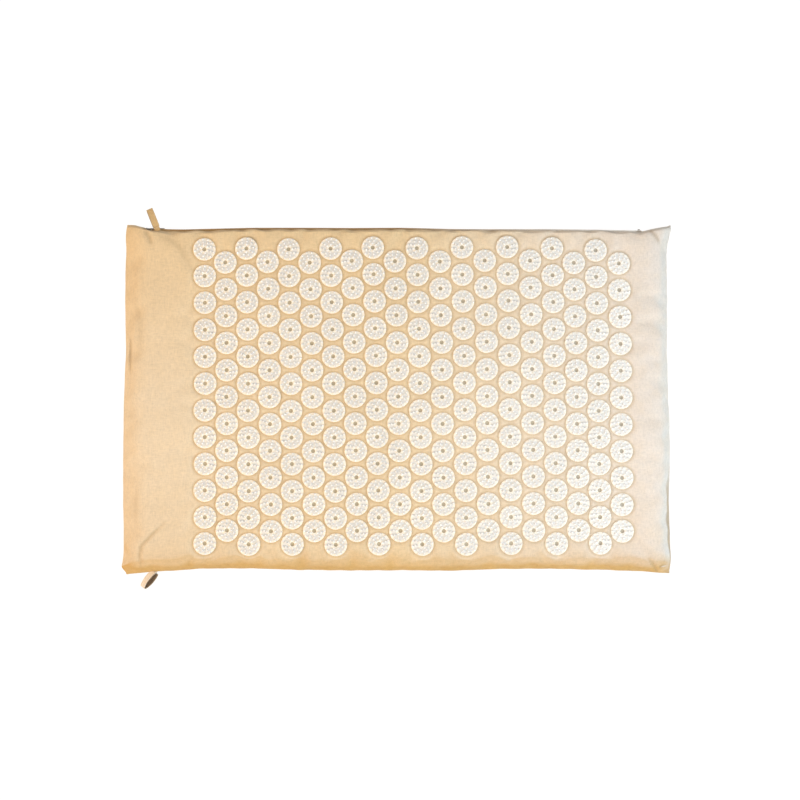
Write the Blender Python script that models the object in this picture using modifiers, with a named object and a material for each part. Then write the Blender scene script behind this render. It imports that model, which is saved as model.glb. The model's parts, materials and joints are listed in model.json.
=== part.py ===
"""Acupressure mat: a zipped cotton cover round a foam slab, with columns of moulded spike discs on top.

Metres, +Z up. The origin is the middle of the underside. +X runs along the mat, away from the end
with the carry loops, and +Y points to the long edge that holds the zip.
"""

import math
from dataclasses import dataclass, replace

import bmesh
import bpy
from mathutils import Matrix, Vector

# Foam slab
FOAM_LENGTH = 0.652
FOAM_WIDTH = 0.406
FOAM_EASE = 0.004
FOAM_GAP = 0.0003

# Cover: its edges are measured between their middles, where they are drawn in
END_SLACK = 0.0095
SIDE_SLACK = 0.008
COVER_LENGTH = FOAM_LENGTH + 2 * END_SLACK
COVER_WIDTH = FOAM_WIDTH + 2 * SIDE_SLACK
COVER_HEIGHT = 0.022
CLOTH_THICK = 0.001
SEAM_HEIGHT = 0.0095
SEAM_GAP = 0.0003
EAR_REACH = 0.004
EAR_POWER = 20

# Shoulders: how far in from each edge the cloth reaches its full height
TOP_END_SHOULDER = 0.036
TOP_FRONT_SHOULDER = 0.018
TOP_BACK_SHOULDER = 0.006
BASE_SHOULDER = 0.010
BASE_BACK_SHOULDER = 0.006
SHOULDER_CELLS = 4
LENGTH_CELLS = 8
WIDTH_CELLS = 5
GRID_COLUMNS = LENGTH_CELLS + 2 * SHOULDER_CELLS
GRID_ROWS = WIDTH_CELLS + 2 * SHOULDER_CELLS

# Spike discs: a plate with a ring of spikes round a pit, joined in a column by short webs
DISC_DIAMETER = 0.028
DISC_SIDES = 8
PLATE_THICK = 0.0012
PIT_FLOOR = 0.0004
SPIKE_HEIGHT = 0.0038
SPIKE_RING_RADIUS = 0.0092
WEB_WIDTH = 0.004
DISC_GAP = 0.0003

# Field of discs: columns from left to right, with one disc less in every second column
ROW_PITCH = 0.033
BARE_STRIP = 0.100
FIELD_SIDE_MARGIN = 0.010
FIELD_END_MARGIN = 0.003
COLUMN_PITCH = 0.0259
COLUMN_SPREAD = 0.000054
FIELD_OFFSET_Y = 0.0019
COLUMN_LEAN = 0.017
LEAN_COLUMNS = 4

# Zip, seen along Y: two tapes and two rows of teeth, one above and one below its centre line
ZIP_END_MARGIN = 0.0155
ZIP_DEPTH = 0.0036
ZIP_SLOT_HALF = 0.0035
TAPE_INSET = 0.0025
TAPE_THICK = 0.0006
TAPE_START = 0.0018
TAPE_END = 0.0060
TEETH_THICK = 0.0022
TEETH_START = 0.0005
TEETH_END = 0.0020
TEETH_BEVEL = 0.0003
TEETH_GROOVE = 0.0003

# Slider, which wraps both rows of teeth, and the pin that carries its pull tab
SLIDER_LENGTH = 0.009
SLIDER_HALF_HEIGHT = 0.0031
SLIDER_PLATE_THICK = 0.001
SLIDER_CLEARANCE = 0.0003
SLIDER_FLANGE = 0.0006
SLIDER_PARK_GAP = 0.0003
POST_THICK = 0.0004
POST_LENGTH = 0.003
JOIN_OVERLAP = 0.0002
LUG_THICK = 0.0009
LUG_LENGTH = 0.0024
LUG_PAST_PIN = 0.0008
PIN_RADIUS = 0.0005
PIN_STANDOFF = 0.0014

# Pull tab
TAB_LENGTH = 0.022
TAB_THICK = 0.001
TAB_HALF_WIDTH = 0.0026
TAB_NECK_HALF = 0.0018
TAB_NECK_LENGTH = 0.0034
TAB_BEVEL = 0.0004
EYE_RADIUS = 0.0011
EYE_CLEARANCE = 0.0002

# Stops that end the slider's travel
STOP_LENGTH = 0.0025
STOP_THICK = 0.0028
STOP_REACH = 0.0028
STOP_BEVEL = 0.0002
BOTTOM_STOP_INSET = 0.015

# Carry loops of folded ribbon
RIBBON_WIDTH = 0.008
RIBBON_THICK = 0.0009
LOOP_LENGTH = 0.030
LOOP_POINTS = 24
LOOP_TURN = math.radians(140)
LOOP_TAPER = 0.7
LOOP_INSET = 0.0414
ROOT_THICK = 0.0018
ROOT_DEPTH = 0.003
ROOT_BITE = 0.0005
ROOT_CLEARANCE = 0.0003
BACK_LOOP_RISE = 0.0086
BACK_LOOP_HALF_OPEN = 0.0058
BACK_LOOP_LEAN = math.radians(19)
BACK_LOOP_ROLL = math.radians(8)
FRONT_LOOP_HALF_OPEN = 0.007
FRONT_LOOP_LEAN = math.radians(39)
FRONT_LOOP_ROLL = math.radians(78)
FRONT_ROOT_WIDTH = 0.005
FRONT_LOOP_OUT = 0.001

# Round pieces and cutters
ROUND_SIDES = 12
CUT_OVERRUN = 0.005
WELD = 0.000001
SMOOTH_ANGLE = math.radians(40)


def new_collection(name):
    """A collection linked to the scene."""
    collection = bpy.data.collections.new(name)
    bpy.context.scene.collection.children.link(collection)
    return collection


def clear_scene():
    """Removes every object that the scene starts with."""
    for thing in list(bpy.data.objects):
        bpy.data.objects.remove(thing, do_unlink=True)


def make_material(name, colour, roughness, metallic=0.0):
    """A Principled material of one colour."""
    material = bpy.data.materials.new(name)
    material.use_nodes = True
    shader = material.node_tree.nodes["Principled BSDF"]
    shader.inputs["Base Color"].default_value = (*colour, 1.0)
    shader.inputs["Roughness"].default_value = roughness
    shader.inputs["Metallic"].default_value = metallic
    return material


def add_piece(name, mesh, collection, material=None):
    """An object that carries the mesh, in a collection, with a material of its own."""
    piece = bpy.data.objects.new(name, mesh)
    collection.objects.link(piece)
    if material:
        mesh.materials.append(material)
    return piece


def add_guide(name, mesh, guides):
    """A helper that only shapes other pieces, so it is left out of renders."""
    guide = add_piece(name, mesh, guides)
    guide.hide_render = True
    guide.display_type = "WIRE"
    return guide


def mesh_from(bm, name):
    """A mesh that takes over what a bmesh holds."""
    mesh = bpy.data.meshes.new(name)
    bm.to_mesh(mesh)
    bm.free()
    return mesh


def box_mesh(name, low, high):
    """A box between its lowest and highest corners."""
    bm = bmesh.new()
    low, high = Vector(low), Vector(high)
    size = Matrix.Diagonal((*(high - low), 1.0))
    bmesh.ops.create_cube(bm, size=1.0, matrix=Matrix.Translation((low + high) / 2) @ size)
    return mesh_from(bm, name)


def cylinder_mesh(name, radius, low_z, high_z):
    """A cylinder about the Z axis."""
    bm = bmesh.new()
    bmesh.ops.create_cone(
        bm,
        cap_ends=True,
        segments=ROUND_SIDES,
        radius1=radius,
        radius2=radius,
        depth=high_z - low_z,
        matrix=Matrix.Translation((0.0, 0.0, (low_z + high_z) / 2)),
    )
    return mesh_from(bm, name)


def combine(piece, other, operation):
    """A Boolean modifier that cuts the other mesh from the piece, joins it on or keeps what they share."""
    step = piece.modifiers.new(other.name, "BOOLEAN")
    step.operation = operation
    step.object = other


def soften(piece, width):
    """Rounds the sharp edges of a small hard piece."""
    step = piece.modifiers.new("edges", "BEVEL")
    step.width = width
    step.segments = 1


def shade_round(mesh):
    """Smooth shading, with creases kept sharp."""
    mesh.shade_smooth()
    mesh.set_sharp_from_angle(angle=SMOOTH_ANGLE)


def shoulder_rise(distance, width):
    """Share of the full height at a distance in from an edge: a quarter of an ellipse."""
    share = min(max(distance / width, 0.0), 1.0)
    return math.sqrt(1.0 - (1.0 - share) ** 2)


def stations(half, low_shoulder, high_shoulder, cells):
    """Places along one side of a cushion: close together on its shoulders and even between them."""
    turns = [math.pi / 2 * step / SHOULDER_CELLS for step in range(SHOULDER_CELLS)]
    low = [-half + low_shoulder * (1.0 - math.cos(turn)) for turn in turns]
    high = [half - high_shoulder * (1.0 - math.cos(turn)) for turn in reversed(turns)]
    start, end = -half + low_shoulder, half - high_shoulder
    middle = [start + (end - start) * step / cells for step in range(cells + 1)]
    return low + middle + high


@dataclass(frozen=True)
class Cushion:
    """One side of a cushion: its plan, its shoulders, its rim's height and its crown above the rim."""

    half_length: float
    half_width: float
    end_shoulder: float
    front_shoulder: float
    back_shoulder: float
    rim_z: float
    crown: float

    def height(self, x, y):
        """Height above the rim at a place of the plan."""
        ends = shoulder_rise(self.half_length - abs(x), self.end_shoulder)
        front = shoulder_rise(self.half_width + y, self.front_shoulder)
        back = shoulder_rise(self.half_width - y, self.back_shoulder)
        return self.crown * ends * front * back

    def eared(self, x, y):
        """The place moved out towards the nearest corner, which stands proud of the edges."""
        share = (abs(x) / self.half_length * abs(y) / self.half_width) ** EAR_POWER
        return x + math.copysign(EAR_REACH * share, x), y + math.copysign(EAR_REACH * share, y)

    def inset(self, ease, skin):
        """The same side drawn in at its edges, with its crown a skin nearer to the rim."""
        return replace(
            self,
            half_length=self.half_length - ease,
            half_width=self.half_width - ease,
            end_shoulder=self.end_shoulder - ease,
            front_shoulder=self.front_shoulder - ease,
            back_shoulder=self.back_shoulder - ease,
            crown=self.crown - math.copysign(skin, self.crown),
        )

    def place(self, verts):
        """Moves the vertices of a flat grid, from -1 to 1 both ways, to their places on the surface."""
        along = stations(self.half_length, self.end_shoulder, self.end_shoulder, LENGTH_CELLS)
        across = stations(self.half_width, self.front_shoulder, self.back_shoulder, WIDTH_CELLS)
        for vertex in verts:
            x = along[round((vertex.co.x + 1.0) / 2 * GRID_COLUMNS)]
            y = across[round((vertex.co.y + 1.0) / 2 * GRID_ROWS)]
            vertex.co = (*self.eared(x, y), self.rim_z + self.height(x, y))


COVER_TOP = Cushion(
    COVER_LENGTH / 2,
    COVER_WIDTH / 2,
    TOP_END_SHOULDER,
    TOP_FRONT_SHOULDER,
    TOP_BACK_SHOULDER,
    SEAM_HEIGHT + SEAM_GAP / 2,
    COVER_HEIGHT - SEAM_HEIGHT - SEAM_GAP / 2,
)
COVER_BASE = Cushion(
    COVER_LENGTH / 2,
    COVER_WIDTH / 2,
    BASE_SHOULDER,
    BASE_SHOULDER,
    BASE_BACK_SHOULDER,
    SEAM_HEIGHT - SEAM_GAP / 2,
    -SEAM_HEIGHT + SEAM_GAP / 2,
)

ZIP_Y = COVER_WIDTH / 2 - ZIP_DEPTH
ZIP_END = COVER_LENGTH / 2 - ZIP_END_MARGIN
TAPE_END_X = ZIP_END - TAPE_INSET
TEETH_END_X = TAPE_END_X - BOTTOM_STOP_INSET
SLIDER_X = -TAPE_END_X + STOP_LENGTH + SLIDER_PARK_GAP + SLIDER_LENGTH / 2
LOOP_X = -COVER_LENGTH / 2 + LOOP_INSET
BACK_LOOP_Z = SEAM_HEIGHT + BACK_LOOP_RISE


def between(name, first, second):
    """The closed solid between two cushion surfaces: a grid extruded from one to the other.

    Each corner cell is split towards the middle, so that its crease runs up from the corner.
    """
    bm = bmesh.new()
    grid = bmesh.ops.create_grid(bm, x_segments=GRID_COLUMNS, y_segments=GRID_ROWS, size=1.0)
    for corner in [vertex for vertex in grid["verts"] if len(vertex.link_faces) == 1]:
        inward = corner.link_loops[0].link_loop_next.link_loop_next.vert
        bmesh.utils.face_split(corner.link_faces[0], corner, inward)
    extruded = bmesh.ops.extrude_face_region(bm, geom=bm.faces[:], use_keep_orig=True)["geom"]
    first.place(grid["verts"])
    second.place([item for item in extruded if isinstance(item, bmesh.types.BMVert)])
    if bm.calc_volume(signed=True) < 0.0:
        bmesh.ops.reverse_faces(bm, faces=bm.faces[:])
    mesh = mesh_from(bm, name)
    shade_round(mesh)
    return mesh


def add_panel(name, side, parts, material):
    """One cloth of the cover: a dish whose level rim lies at the seam."""
    return add_piece(name, between(name, side, side.inset(CLOTH_THICK, CLOTH_THICK)), parts, material)


def zip_slot(guides):
    """The opening in the back of the cover, between the two cloths."""
    low = (-ZIP_END, COVER_WIDTH / 2 - TOP_BACK_SHOULDER, SEAM_HEIGHT - ZIP_SLOT_HALF)
    high = (ZIP_END, COVER_WIDTH / 2 + EAR_REACH + CUT_OVERRUN, SEAM_HEIGHT + ZIP_SLOT_HALF)
    return add_guide("zip_slot", box_mesh("zip_slot", low, high), guides)


def slab_box(guides):
    """The foam as it was cut, before the cover draws its edges in."""
    low = (-FOAM_LENGTH / 2, -FOAM_WIDTH / 2, 0.0)
    high = (FOAM_LENGTH / 2, FOAM_WIDTH / 2, COVER_HEIGHT)
    return add_guide("slab", box_mesh("slab", low, high), guides)


def add_foam(parts, guides, material):
    """The foam slab, eased at its edges to fit inside the cover."""
    skin = CLOTH_THICK + FOAM_GAP
    upper, lower = (side.inset(FOAM_EASE, skin) for side in (COVER_TOP, COVER_BASE))
    foam = add_piece("foam_core", between("foam_core", upper, lower), parts, material)
    combine(foam, slab_box(guides), "INTERSECT")


def add_disc(bm):
    """One disc at the origin: a plate with flats for the webs, a centre pit and a ring of spikes."""
    circle = bmesh.ops.create_circle(bm, cap_ends=True, segments=DISC_SIDES, radius=DISC_DIAMETER / 2)
    tips = sorted(circle["verts"], key=lambda vertex: abs(vertex.co.y))[-2:]
    half_corner = math.pi / 2 - math.pi / DISC_SIDES
    cut_back = WEB_WIDTH / 2 / math.sin(half_corner)
    bmesh.ops.bevel(bm, geom=tips, offset=cut_back, affect="VERTICES", segments=1, profile=0.5)
    plate = bm.faces[:]
    top = bmesh.ops.extrude_face_region(bm, geom=plate)["geom"]
    raised = [item for item in top if isinstance(item, bmesh.types.BMVert)]
    bmesh.ops.translate(bm, verts=raised, vec=(0.0, 0.0, PLATE_THICK))
    cap = [item for item in top if isinstance(item, bmesh.types.BMFace)]
    fan = bmesh.ops.poke(bm, faces=cap)
    fan["verts"][0].co.z = PIT_FLOOR
    sectors = [face for face in fan["faces"] if not over_web(face)]
    for apex in bmesh.ops.poke(bm, faces=sectors)["verts"]:
        ring = apex.co.xy.normalized() * SPIKE_RING_RADIUS
        apex.co = (ring.x, ring.y, PLATE_THICK + SPIKE_HEIGHT)
    bmesh.ops.recalc_face_normals(bm, faces=bm.faces)


def over_web(face):
    """Whether this sector of the plate ends on a flat that a web leaves from."""
    rim = [vertex.co for vertex in face.verts if vertex.co.z > PIT_FLOOR]
    return (rim[0] - rim[1]).length < DISC_DIAMETER / 2 * math.sin(math.pi / DISC_SIDES)


def column_mesh(name, discs):
    """A column of discs along Y, centred on the origin, each joined to the next by a web."""
    bm = bmesh.new()
    add_disc(bm)
    first = bm.verts[:] + bm.edges[:] + bm.faces[:]
    for step in range(1, discs):
        copy = bmesh.ops.duplicate(bm, geom=first)["geom"]
        verts = [item for item in copy if isinstance(item, bmesh.types.BMVert)]
        bmesh.ops.translate(bm, verts=verts, vec=(0.0, ROW_PITCH * step, 0.0))
    for step in range(discs - 1):
        middle = ROW_PITCH * step + ROW_PITCH / 2
        near = ROW_PITCH / 2 - DISC_DIAMETER / 2 * math.cos(math.pi / DISC_SIDES)
        facing = [
            face
            for face in bm.faces
            if abs(face.normal.y) > math.cos(math.pi / DISC_SIDES / 2)
            and abs(face.calc_center_median().y - middle) < near
            and all(abs(vertex.co.x) < WEB_WIDTH for vertex in face.verts)
        ]
        rims = [edge for face in facing for edge in face.edges]
        bmesh.ops.delete(bm, geom=facing, context="FACES_ONLY")
        bmesh.ops.bridge_loops(bm, edges=rims)
    bmesh.ops.translate(bm, verts=bm.verts, vec=(0.0, -ROW_PITCH * (discs - 1) / 2, 0.0))
    bmesh.ops.recalc_face_normals(bm, faces=bm.faces)
    return mesh_from(bm, name)


def column_x(index):
    """Where a column crosses the middle of the field: the pitch grows a little from left to right."""
    return BARE_STRIP - COVER_LENGTH / 2 + index * (COLUMN_PITCH + index * COLUMN_SPREAD)


def long_column_discs():
    """How many discs fit across the cover."""
    room = COVER_WIDTH - 2 * FIELD_SIDE_MARGIN - DISC_DIAMETER
    return 1 + math.floor(room / ROW_PITCH)


def add_disc_columns(parts, material):
    """All the columns that fit, each leaning a little as they do on the hand-laid original."""
    last_x = COVER_LENGTH / 2 - TOP_END_SHOULDER - FIELD_END_MARGIN - DISC_DIAMETER / 2
    index = 0
    while column_x(index) < last_x:
        name = f"spike_disc_column_{index + 1:02d}"
        column = add_piece(name, column_mesh(name, long_column_discs() - index % 2), parts, material)
        column.location = (column_x(index), FIELD_OFFSET_Y, COVER_HEIGHT + DISC_GAP)
        column.rotation_euler.z = COLUMN_LEAN * min(index / LEAN_COLUMNS, 1.0)
        index += 1


def zip_strip(name, end_x, start, end, side, thick):
    """A strip along the zip up to a place, between two heights above or below the zip's centre line."""
    heights = sorted((SEAM_HEIGHT + side * start, SEAM_HEIGHT + side * end))
    low = (-TAPE_END_X, ZIP_Y - thick / 2, heights[0])
    high = (end_x, ZIP_Y + thick / 2, heights[1])
    return box_mesh(name, low, high)


def add_zip_sides(parts, guides, tape_material, teeth_material):
    """The tapes, and the rows of teeth that are clamped on their edges."""
    for word, side in (("upper", 1.0), ("lower", -1.0)):
        tape_name = f"zip_tape_{word}"
        tape = zip_strip(tape_name, TAPE_END_X, TAPE_START, TAPE_END, side, TAPE_THICK)
        add_piece(tape_name, tape, parts, tape_material)
        teeth_name = f"zip_teeth_{word}"
        bar = zip_strip(teeth_name, TEETH_END_X, TEETH_START, TEETH_END, side, TEETH_THICK)
        teeth = add_piece(teeth_name, bar, parts, teeth_material)
        soften(teeth, TEETH_BEVEL)
        groove_name = f"tape_groove_{word}"
        wide = TAPE_THICK + 2 * TEETH_GROOVE
        groove_start = TAPE_START - TEETH_GROOVE
        groove = zip_strip(groove_name, TAPE_END_X, groove_start, TAPE_END, side, wide)
        for vertex in groove.vertices:
            vertex.co.x += math.copysign(CUT_OVERRUN, vertex.co.x)
        combine(teeth, add_guide(groove_name, groove, guides), "DIFFERENCE")


def add_stops(parts, material):
    """Two top stops beside the parked slider and the box that closes the far end."""
    seat_y = ZIP_Y + TEETH_THICK / 2 + TEETH_GROOVE
    for word, side in (("upper", 1.0), ("lower", -1.0)):
        name = f"zip_top_stop_{word}"
        heights = sorted((SEAM_HEIGHT + side * TEETH_START, SEAM_HEIGHT + side * STOP_REACH))
        low = (-TAPE_END_X, seat_y, heights[0])
        high = (low[0] + STOP_LENGTH, ZIP_Y + STOP_THICK, heights[1])
        soften(add_piece(name, box_mesh(name, low, high), parts, material), STOP_BEVEL)
    low = (TEETH_END_X - STOP_LENGTH, seat_y, SEAM_HEIGHT - STOP_REACH)
    high = (TEETH_END_X, ZIP_Y + STOP_THICK, SEAM_HEIGHT + STOP_REACH)
    mesh = box_mesh("zip_bottom_stop", low, high)
    soften(add_piece("zip_bottom_stop", mesh, parts, material), STOP_BEVEL)


def slider_boxes():
    """The boxes of the slider about its own centre: plates, flanges, post and lugs, as (name, low, high)."""
    half = SLIDER_LENGTH / 2
    tall = SLIDER_HALF_HEIGHT
    inner = TEETH_THICK / 2 + SLIDER_CLEARANCE
    outer = inner + SLIDER_PLATE_THICK
    lip = TAPE_THICK / 2 + SLIDER_CLEARANCE
    pin_y = outer + PIN_STANDOFF
    boxes = [("back_plate", (-half, -outer, -tall), (half, -inner, tall))]
    for side in (1.0, -1.0):
        rim, inside = side * tall, side * (tall - SLIDER_FLANGE)
        low_z, high_z = min(rim, inside), max(rim, inside)
        deep = inner + JOIN_OVERLAP
        boxes.append((f"front_flange_{side:+.0f}", (-half, lip, low_z), (half, deep, high_z)))
        boxes.append((f"back_flange_{side:+.0f}", (-half, -deep, low_z), (half, -lip, high_z)))
        rim, inside = side * tall, side * (tall - LUG_THICK)
        low_z, high_z = min(rim, inside), max(rim, inside)
        low = (-LUG_LENGTH / 2, outer - JOIN_OVERLAP, low_z)
        boxes.append((f"lug_{side:+.0f}", low, (LUG_LENGTH / 2, pin_y + LUG_PAST_PIN, high_z)))
    post_low = (half - POST_LENGTH, -inner - JOIN_OVERLAP, -POST_THICK / 2)
    boxes.append(("post", post_low, (half, inner + JOIN_OVERLAP, POST_THICK / 2)))
    return boxes, inner, outer, pin_y


def add_slider(parts, guides, material):
    """The slider, parked against the top stops, and the empty line of its pin."""
    boxes, inner, outer, pin_y = slider_boxes()
    half = SLIDER_LENGTH / 2
    plate = box_mesh("zip_slider", (-half, inner, -SLIDER_HALF_HEIGHT), (half, outer, SLIDER_HALF_HEIGHT))
    slider = add_piece("zip_slider", plate, parts, material)
    slider.location = (SLIDER_X, ZIP_Y, SEAM_HEIGHT)
    for name, low, high in boxes:
        piece = add_guide("slider_" + name, box_mesh(name, low, high), guides)
        piece.parent = slider
        combine(slider, piece, "UNION")
    reach = SLIDER_HALF_HEIGHT - LUG_THICK / 2
    pin = add_guide("slider_pin", cylinder_mesh("slider_pin", PIN_RADIUS, -reach, reach), guides)
    pin.parent = slider
    pin.location.y = pin_y
    combine(slider, pin, "UNION")
    return slider, pin_y


def add_pull_tab(parts, guides, material, slider, pin_y):
    """The pull tab, whose eye turns on the slider's pin."""
    neck = box_mesh(
        "zip_pull_tab",
        (EYE_RADIUS / 2, -TAB_THICK / 2, -TAB_NECK_HALF),
        (TAB_NECK_LENGTH, TAB_THICK / 2, TAB_NECK_HALF),
    )
    tab = add_piece("zip_pull_tab", neck, parts, material)
    tab.parent = slider
    tab.location.y = pin_y
    blade_low = (TAB_NECK_LENGTH - JOIN_OVERLAP, -TAB_THICK / 2, -TAB_HALF_WIDTH)
    blade_high = (TAB_LENGTH, TAB_THICK / 2, TAB_HALF_WIDTH)
    blade = add_guide("tab_blade", box_mesh("tab_blade", blade_low, blade_high), guides)
    soften(blade, TAB_BEVEL)
    eye = add_guide("tab_eye", cylinder_mesh("tab_eye", EYE_RADIUS, -TAB_NECK_HALF, TAB_NECK_HALF), guides)
    reach = TAB_NECK_HALF + CUT_OVERRUN
    bore_mesh = cylinder_mesh("tab_bore", PIN_RADIUS + EYE_CLEARANCE, -reach, reach)
    bore = add_guide("tab_bore", bore_mesh, guides)
    for other, operation in ((blade, "UNION"), (eye, "UNION"), (bore, "DIFFERENCE")):
        other.parent = tab
        combine(tab, other, operation)


def ribbon_band(name, half_open, guides):
    """A band of ribbon folded back along +Y: a teardrop seen along X, as wide as the ribbon."""
    curve = bpy.data.curves.new(name, "CURVE")
    curve.dimensions = "2D"
    curve.fill_mode = "NONE"
    curve.extrude = RIBBON_WIDTH / 2
    line = curve.splines.new("POLY")
    line.points.add(LOOP_POINTS - 1)
    for step, point in enumerate(line.points):
        turn = LOOP_TURN * (2 * step / (LOOP_POINTS - 1) - 1.0)
        along = (1.0 + math.cos(turn)) / 2
        opened = half_open * math.sin(turn) * along**LOOP_TAPER
        point.co = (opened, LOOP_LENGTH * along, 0.0, 1.0)
    drawn = bpy.data.objects.new(name, curve)
    guides.objects.link(drawn)
    bpy.context.view_layer.update()
    mesh = bpy.data.meshes.new_from_object(drawn.evaluated_get(bpy.context.evaluated_depsgraph_get()))
    bpy.data.objects.remove(drawn)
    bm = bmesh.new()
    bm.from_mesh(mesh)
    bmesh.ops.remove_doubles(bm, verts=bm.verts, dist=WELD)
    bmesh.ops.rotate(bm, verts=bm.verts, matrix=Matrix.Rotation(math.pi / 2, 3, "Y"))
    bmesh.ops.recalc_face_normals(bm, faces=bm.faces)
    mesh = mesh_from(bm, name)
    shade_round(mesh)
    return mesh


def loop_root(name, width, guides, clearance=0.0):
    """The sewn-in end of a loop along Y, or with a clearance the slit that it passes through."""
    side, thick = width / 2 + clearance, ROOT_THICK / 2 + clearance
    depth = ROOT_DEPTH + CUT_OVERRUN if clearance else ROOT_DEPTH
    band_start = LOOP_LENGTH * (1.0 + math.cos(LOOP_TURN)) / 2
    mesh = box_mesh(name, (-side, -depth, -thick), (side, band_start + ROOT_BITE, thick))
    return add_guide(name, mesh, guides)


def add_loop(name, place, roll, half_open, root_width, parts, guides, material):
    """A carry loop whose band leaves the cover along the place's +Y, turned about its own length."""
    loop = add_piece(name, ribbon_band(name, half_open, guides), parts, material)
    loop.matrix_world = place @ Matrix.Rotation(roll, 4, "Y")
    wall = loop.modifiers.new("ribbon", "SOLIDIFY")
    wall.thickness = RIBBON_THICK
    wall.offset = 0.0
    root = loop_root(name + "_root", root_width, guides)
    root.matrix_world = place
    combine(loop, root, "UNION")
    slit = loop_root(name + "_slit", root_width, guides, ROOT_CLEARANCE)
    slit.matrix_world = place
    return slit


def build():
    """The whole mat."""
    clear_scene()
    parts = new_collection("acupressure_mat")
    guides = new_collection("guides")
    cotton = make_material("cotton_cover", (0.78, 0.57, 0.36), 0.9)
    base_cotton = make_material("cotton_base", (0.76, 0.55, 0.35), 0.9)
    foam = make_material("foam", (0.85, 0.82, 0.72), 0.95)
    plastic = make_material("white_plastic", (0.88, 0.85, 0.79), 0.4)
    tape = make_material("zip_tape", (0.66, 0.48, 0.31), 0.85)
    nylon = make_material("zip_teeth", (0.60, 0.45, 0.30), 0.45)
    metal = make_material("zip_metal", (0.70, 0.69, 0.67), 0.3, metallic=1.0)
    ribbon = make_material("ribbon", (0.62, 0.45, 0.26), 0.8)

    slot = zip_slot(guides)
    top = add_panel("top_panel", COVER_TOP, parts, cotton)
    base = add_panel("bottom_panel", COVER_BASE, parts, base_cotton)
    add_foam(parts, guides, foam)
    add_disc_columns(parts, plastic)
    add_zip_sides(parts, guides, tape, nylon)
    add_stops(parts, metal)
    slider, pin_y = add_slider(parts, guides, metal)
    add_pull_tab(parts, guides, metal, slider, pin_y)

    back_y = COVER_WIDTH / 2
    back = Matrix.Translation((LOOP_X, back_y, BACK_LOOP_Z)) @ Matrix.Rotation(BACK_LOOP_LEAN, 4, "Z")
    back_slit = add_loop(
        "carry_loop_back",
        back,
        BACK_LOOP_ROLL,
        BACK_LOOP_HALF_OPEN,
        RIBBON_WIDTH,
        parts,
        guides,
        ribbon,
    )
    front_turn = Matrix.Rotation(math.pi - FRONT_LOOP_LEAN, 4, "Z")
    front = Matrix.Translation((LOOP_X, -back_y - FRONT_LOOP_OUT, SEAM_HEIGHT)) @ front_turn
    front_slit = add_loop(
        "carry_loop_front",
        front,
        FRONT_LOOP_ROLL,
        FRONT_LOOP_HALF_OPEN,
        FRONT_ROOT_WIDTH,
        parts,
        guides,
        ribbon,
    )
    for panel in (top, base):
        combine(panel, slot, "DIFFERENCE")
        combine(panel, front_slit, "DIFFERENCE")
    combine(top, back_slit, "DIFFERENCE")


if __name__ == "__main__":
    build()
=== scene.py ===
"""Looks of the acupressure mat: cotton cover, spiked discs, zip, carry loops, foam and the studio round them.

Metres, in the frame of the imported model: +X along the mat, +Y towards the edge with the zip, +Z up.
"""

import json
import logging
import math
import random
from collections.abc import Callable
from dataclasses import dataclass
from enum import Enum

import bmesh
import bpy
import numpy as np
from mathutils import Matrix, Vector

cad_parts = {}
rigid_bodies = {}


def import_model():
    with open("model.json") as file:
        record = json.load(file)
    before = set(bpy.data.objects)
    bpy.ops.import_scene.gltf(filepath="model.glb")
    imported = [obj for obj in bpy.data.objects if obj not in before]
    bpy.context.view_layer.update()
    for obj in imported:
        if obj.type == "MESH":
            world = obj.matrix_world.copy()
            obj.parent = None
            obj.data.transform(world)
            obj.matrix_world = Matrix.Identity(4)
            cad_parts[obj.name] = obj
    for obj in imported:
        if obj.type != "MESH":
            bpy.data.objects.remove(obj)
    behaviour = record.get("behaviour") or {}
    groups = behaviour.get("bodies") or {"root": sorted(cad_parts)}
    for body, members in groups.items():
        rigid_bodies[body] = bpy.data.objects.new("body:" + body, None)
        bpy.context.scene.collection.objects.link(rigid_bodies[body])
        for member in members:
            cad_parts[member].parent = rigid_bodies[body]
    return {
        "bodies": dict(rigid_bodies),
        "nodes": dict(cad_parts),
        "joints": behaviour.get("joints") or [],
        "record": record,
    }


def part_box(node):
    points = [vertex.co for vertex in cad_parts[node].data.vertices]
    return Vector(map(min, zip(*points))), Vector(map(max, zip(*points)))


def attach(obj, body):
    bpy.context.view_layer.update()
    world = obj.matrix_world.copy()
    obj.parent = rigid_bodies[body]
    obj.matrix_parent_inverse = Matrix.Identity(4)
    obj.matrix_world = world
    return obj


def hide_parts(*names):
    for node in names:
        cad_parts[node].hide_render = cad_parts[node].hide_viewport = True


LOG = logging.getLogger("mat")
FULL_TURN = 2.0 * math.pi
MM = 0.001
DISC_DISTANCE = "disc_distance"
FOLD = "fold"
INSIDE = "inside"
TONE = "tone"

Socket = bpy.types.NodeSocket
Colour = tuple[float, float, float]
Span = tuple[float, float]
Point = tuple[float, float, float]


class Body(Enum):
    """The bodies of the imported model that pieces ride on."""

    MAT = "mat"
    SLIDER = "slider"
    PULL_TAB = "pull_tab"


class Slot(Enum):
    """The record's material slots."""

    COVER = "cover_cotton"
    BASE = "base_cotton"
    FOAM = "foam"
    SPIKES = "spike_plastic"
    TAPE = "zip_tape"
    TEETH = "zip_teeth"
    METAL = "zip_metal"
    RIBBON = "ribbon"


class Axis(Enum):
    """The three axes of a vector socket."""

    X = 0
    Y = 1
    Z = 2


def deselect_all() -> None:
    """Leaves nothing selected and nothing active."""
    for thing in bpy.context.selected_objects:
        thing.select_set(False)
    bpy.context.view_layer.objects.active = None


def take_up(*things: bpy.types.Object) -> None:
    """Selects these objects alone and makes the first one active.

    Args:
        things: The objects that the next operator works on.
    """
    deselect_all()
    for thing in things:
        thing.select_set(True)
    bpy.context.view_layer.objects.active = things[0]


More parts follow.
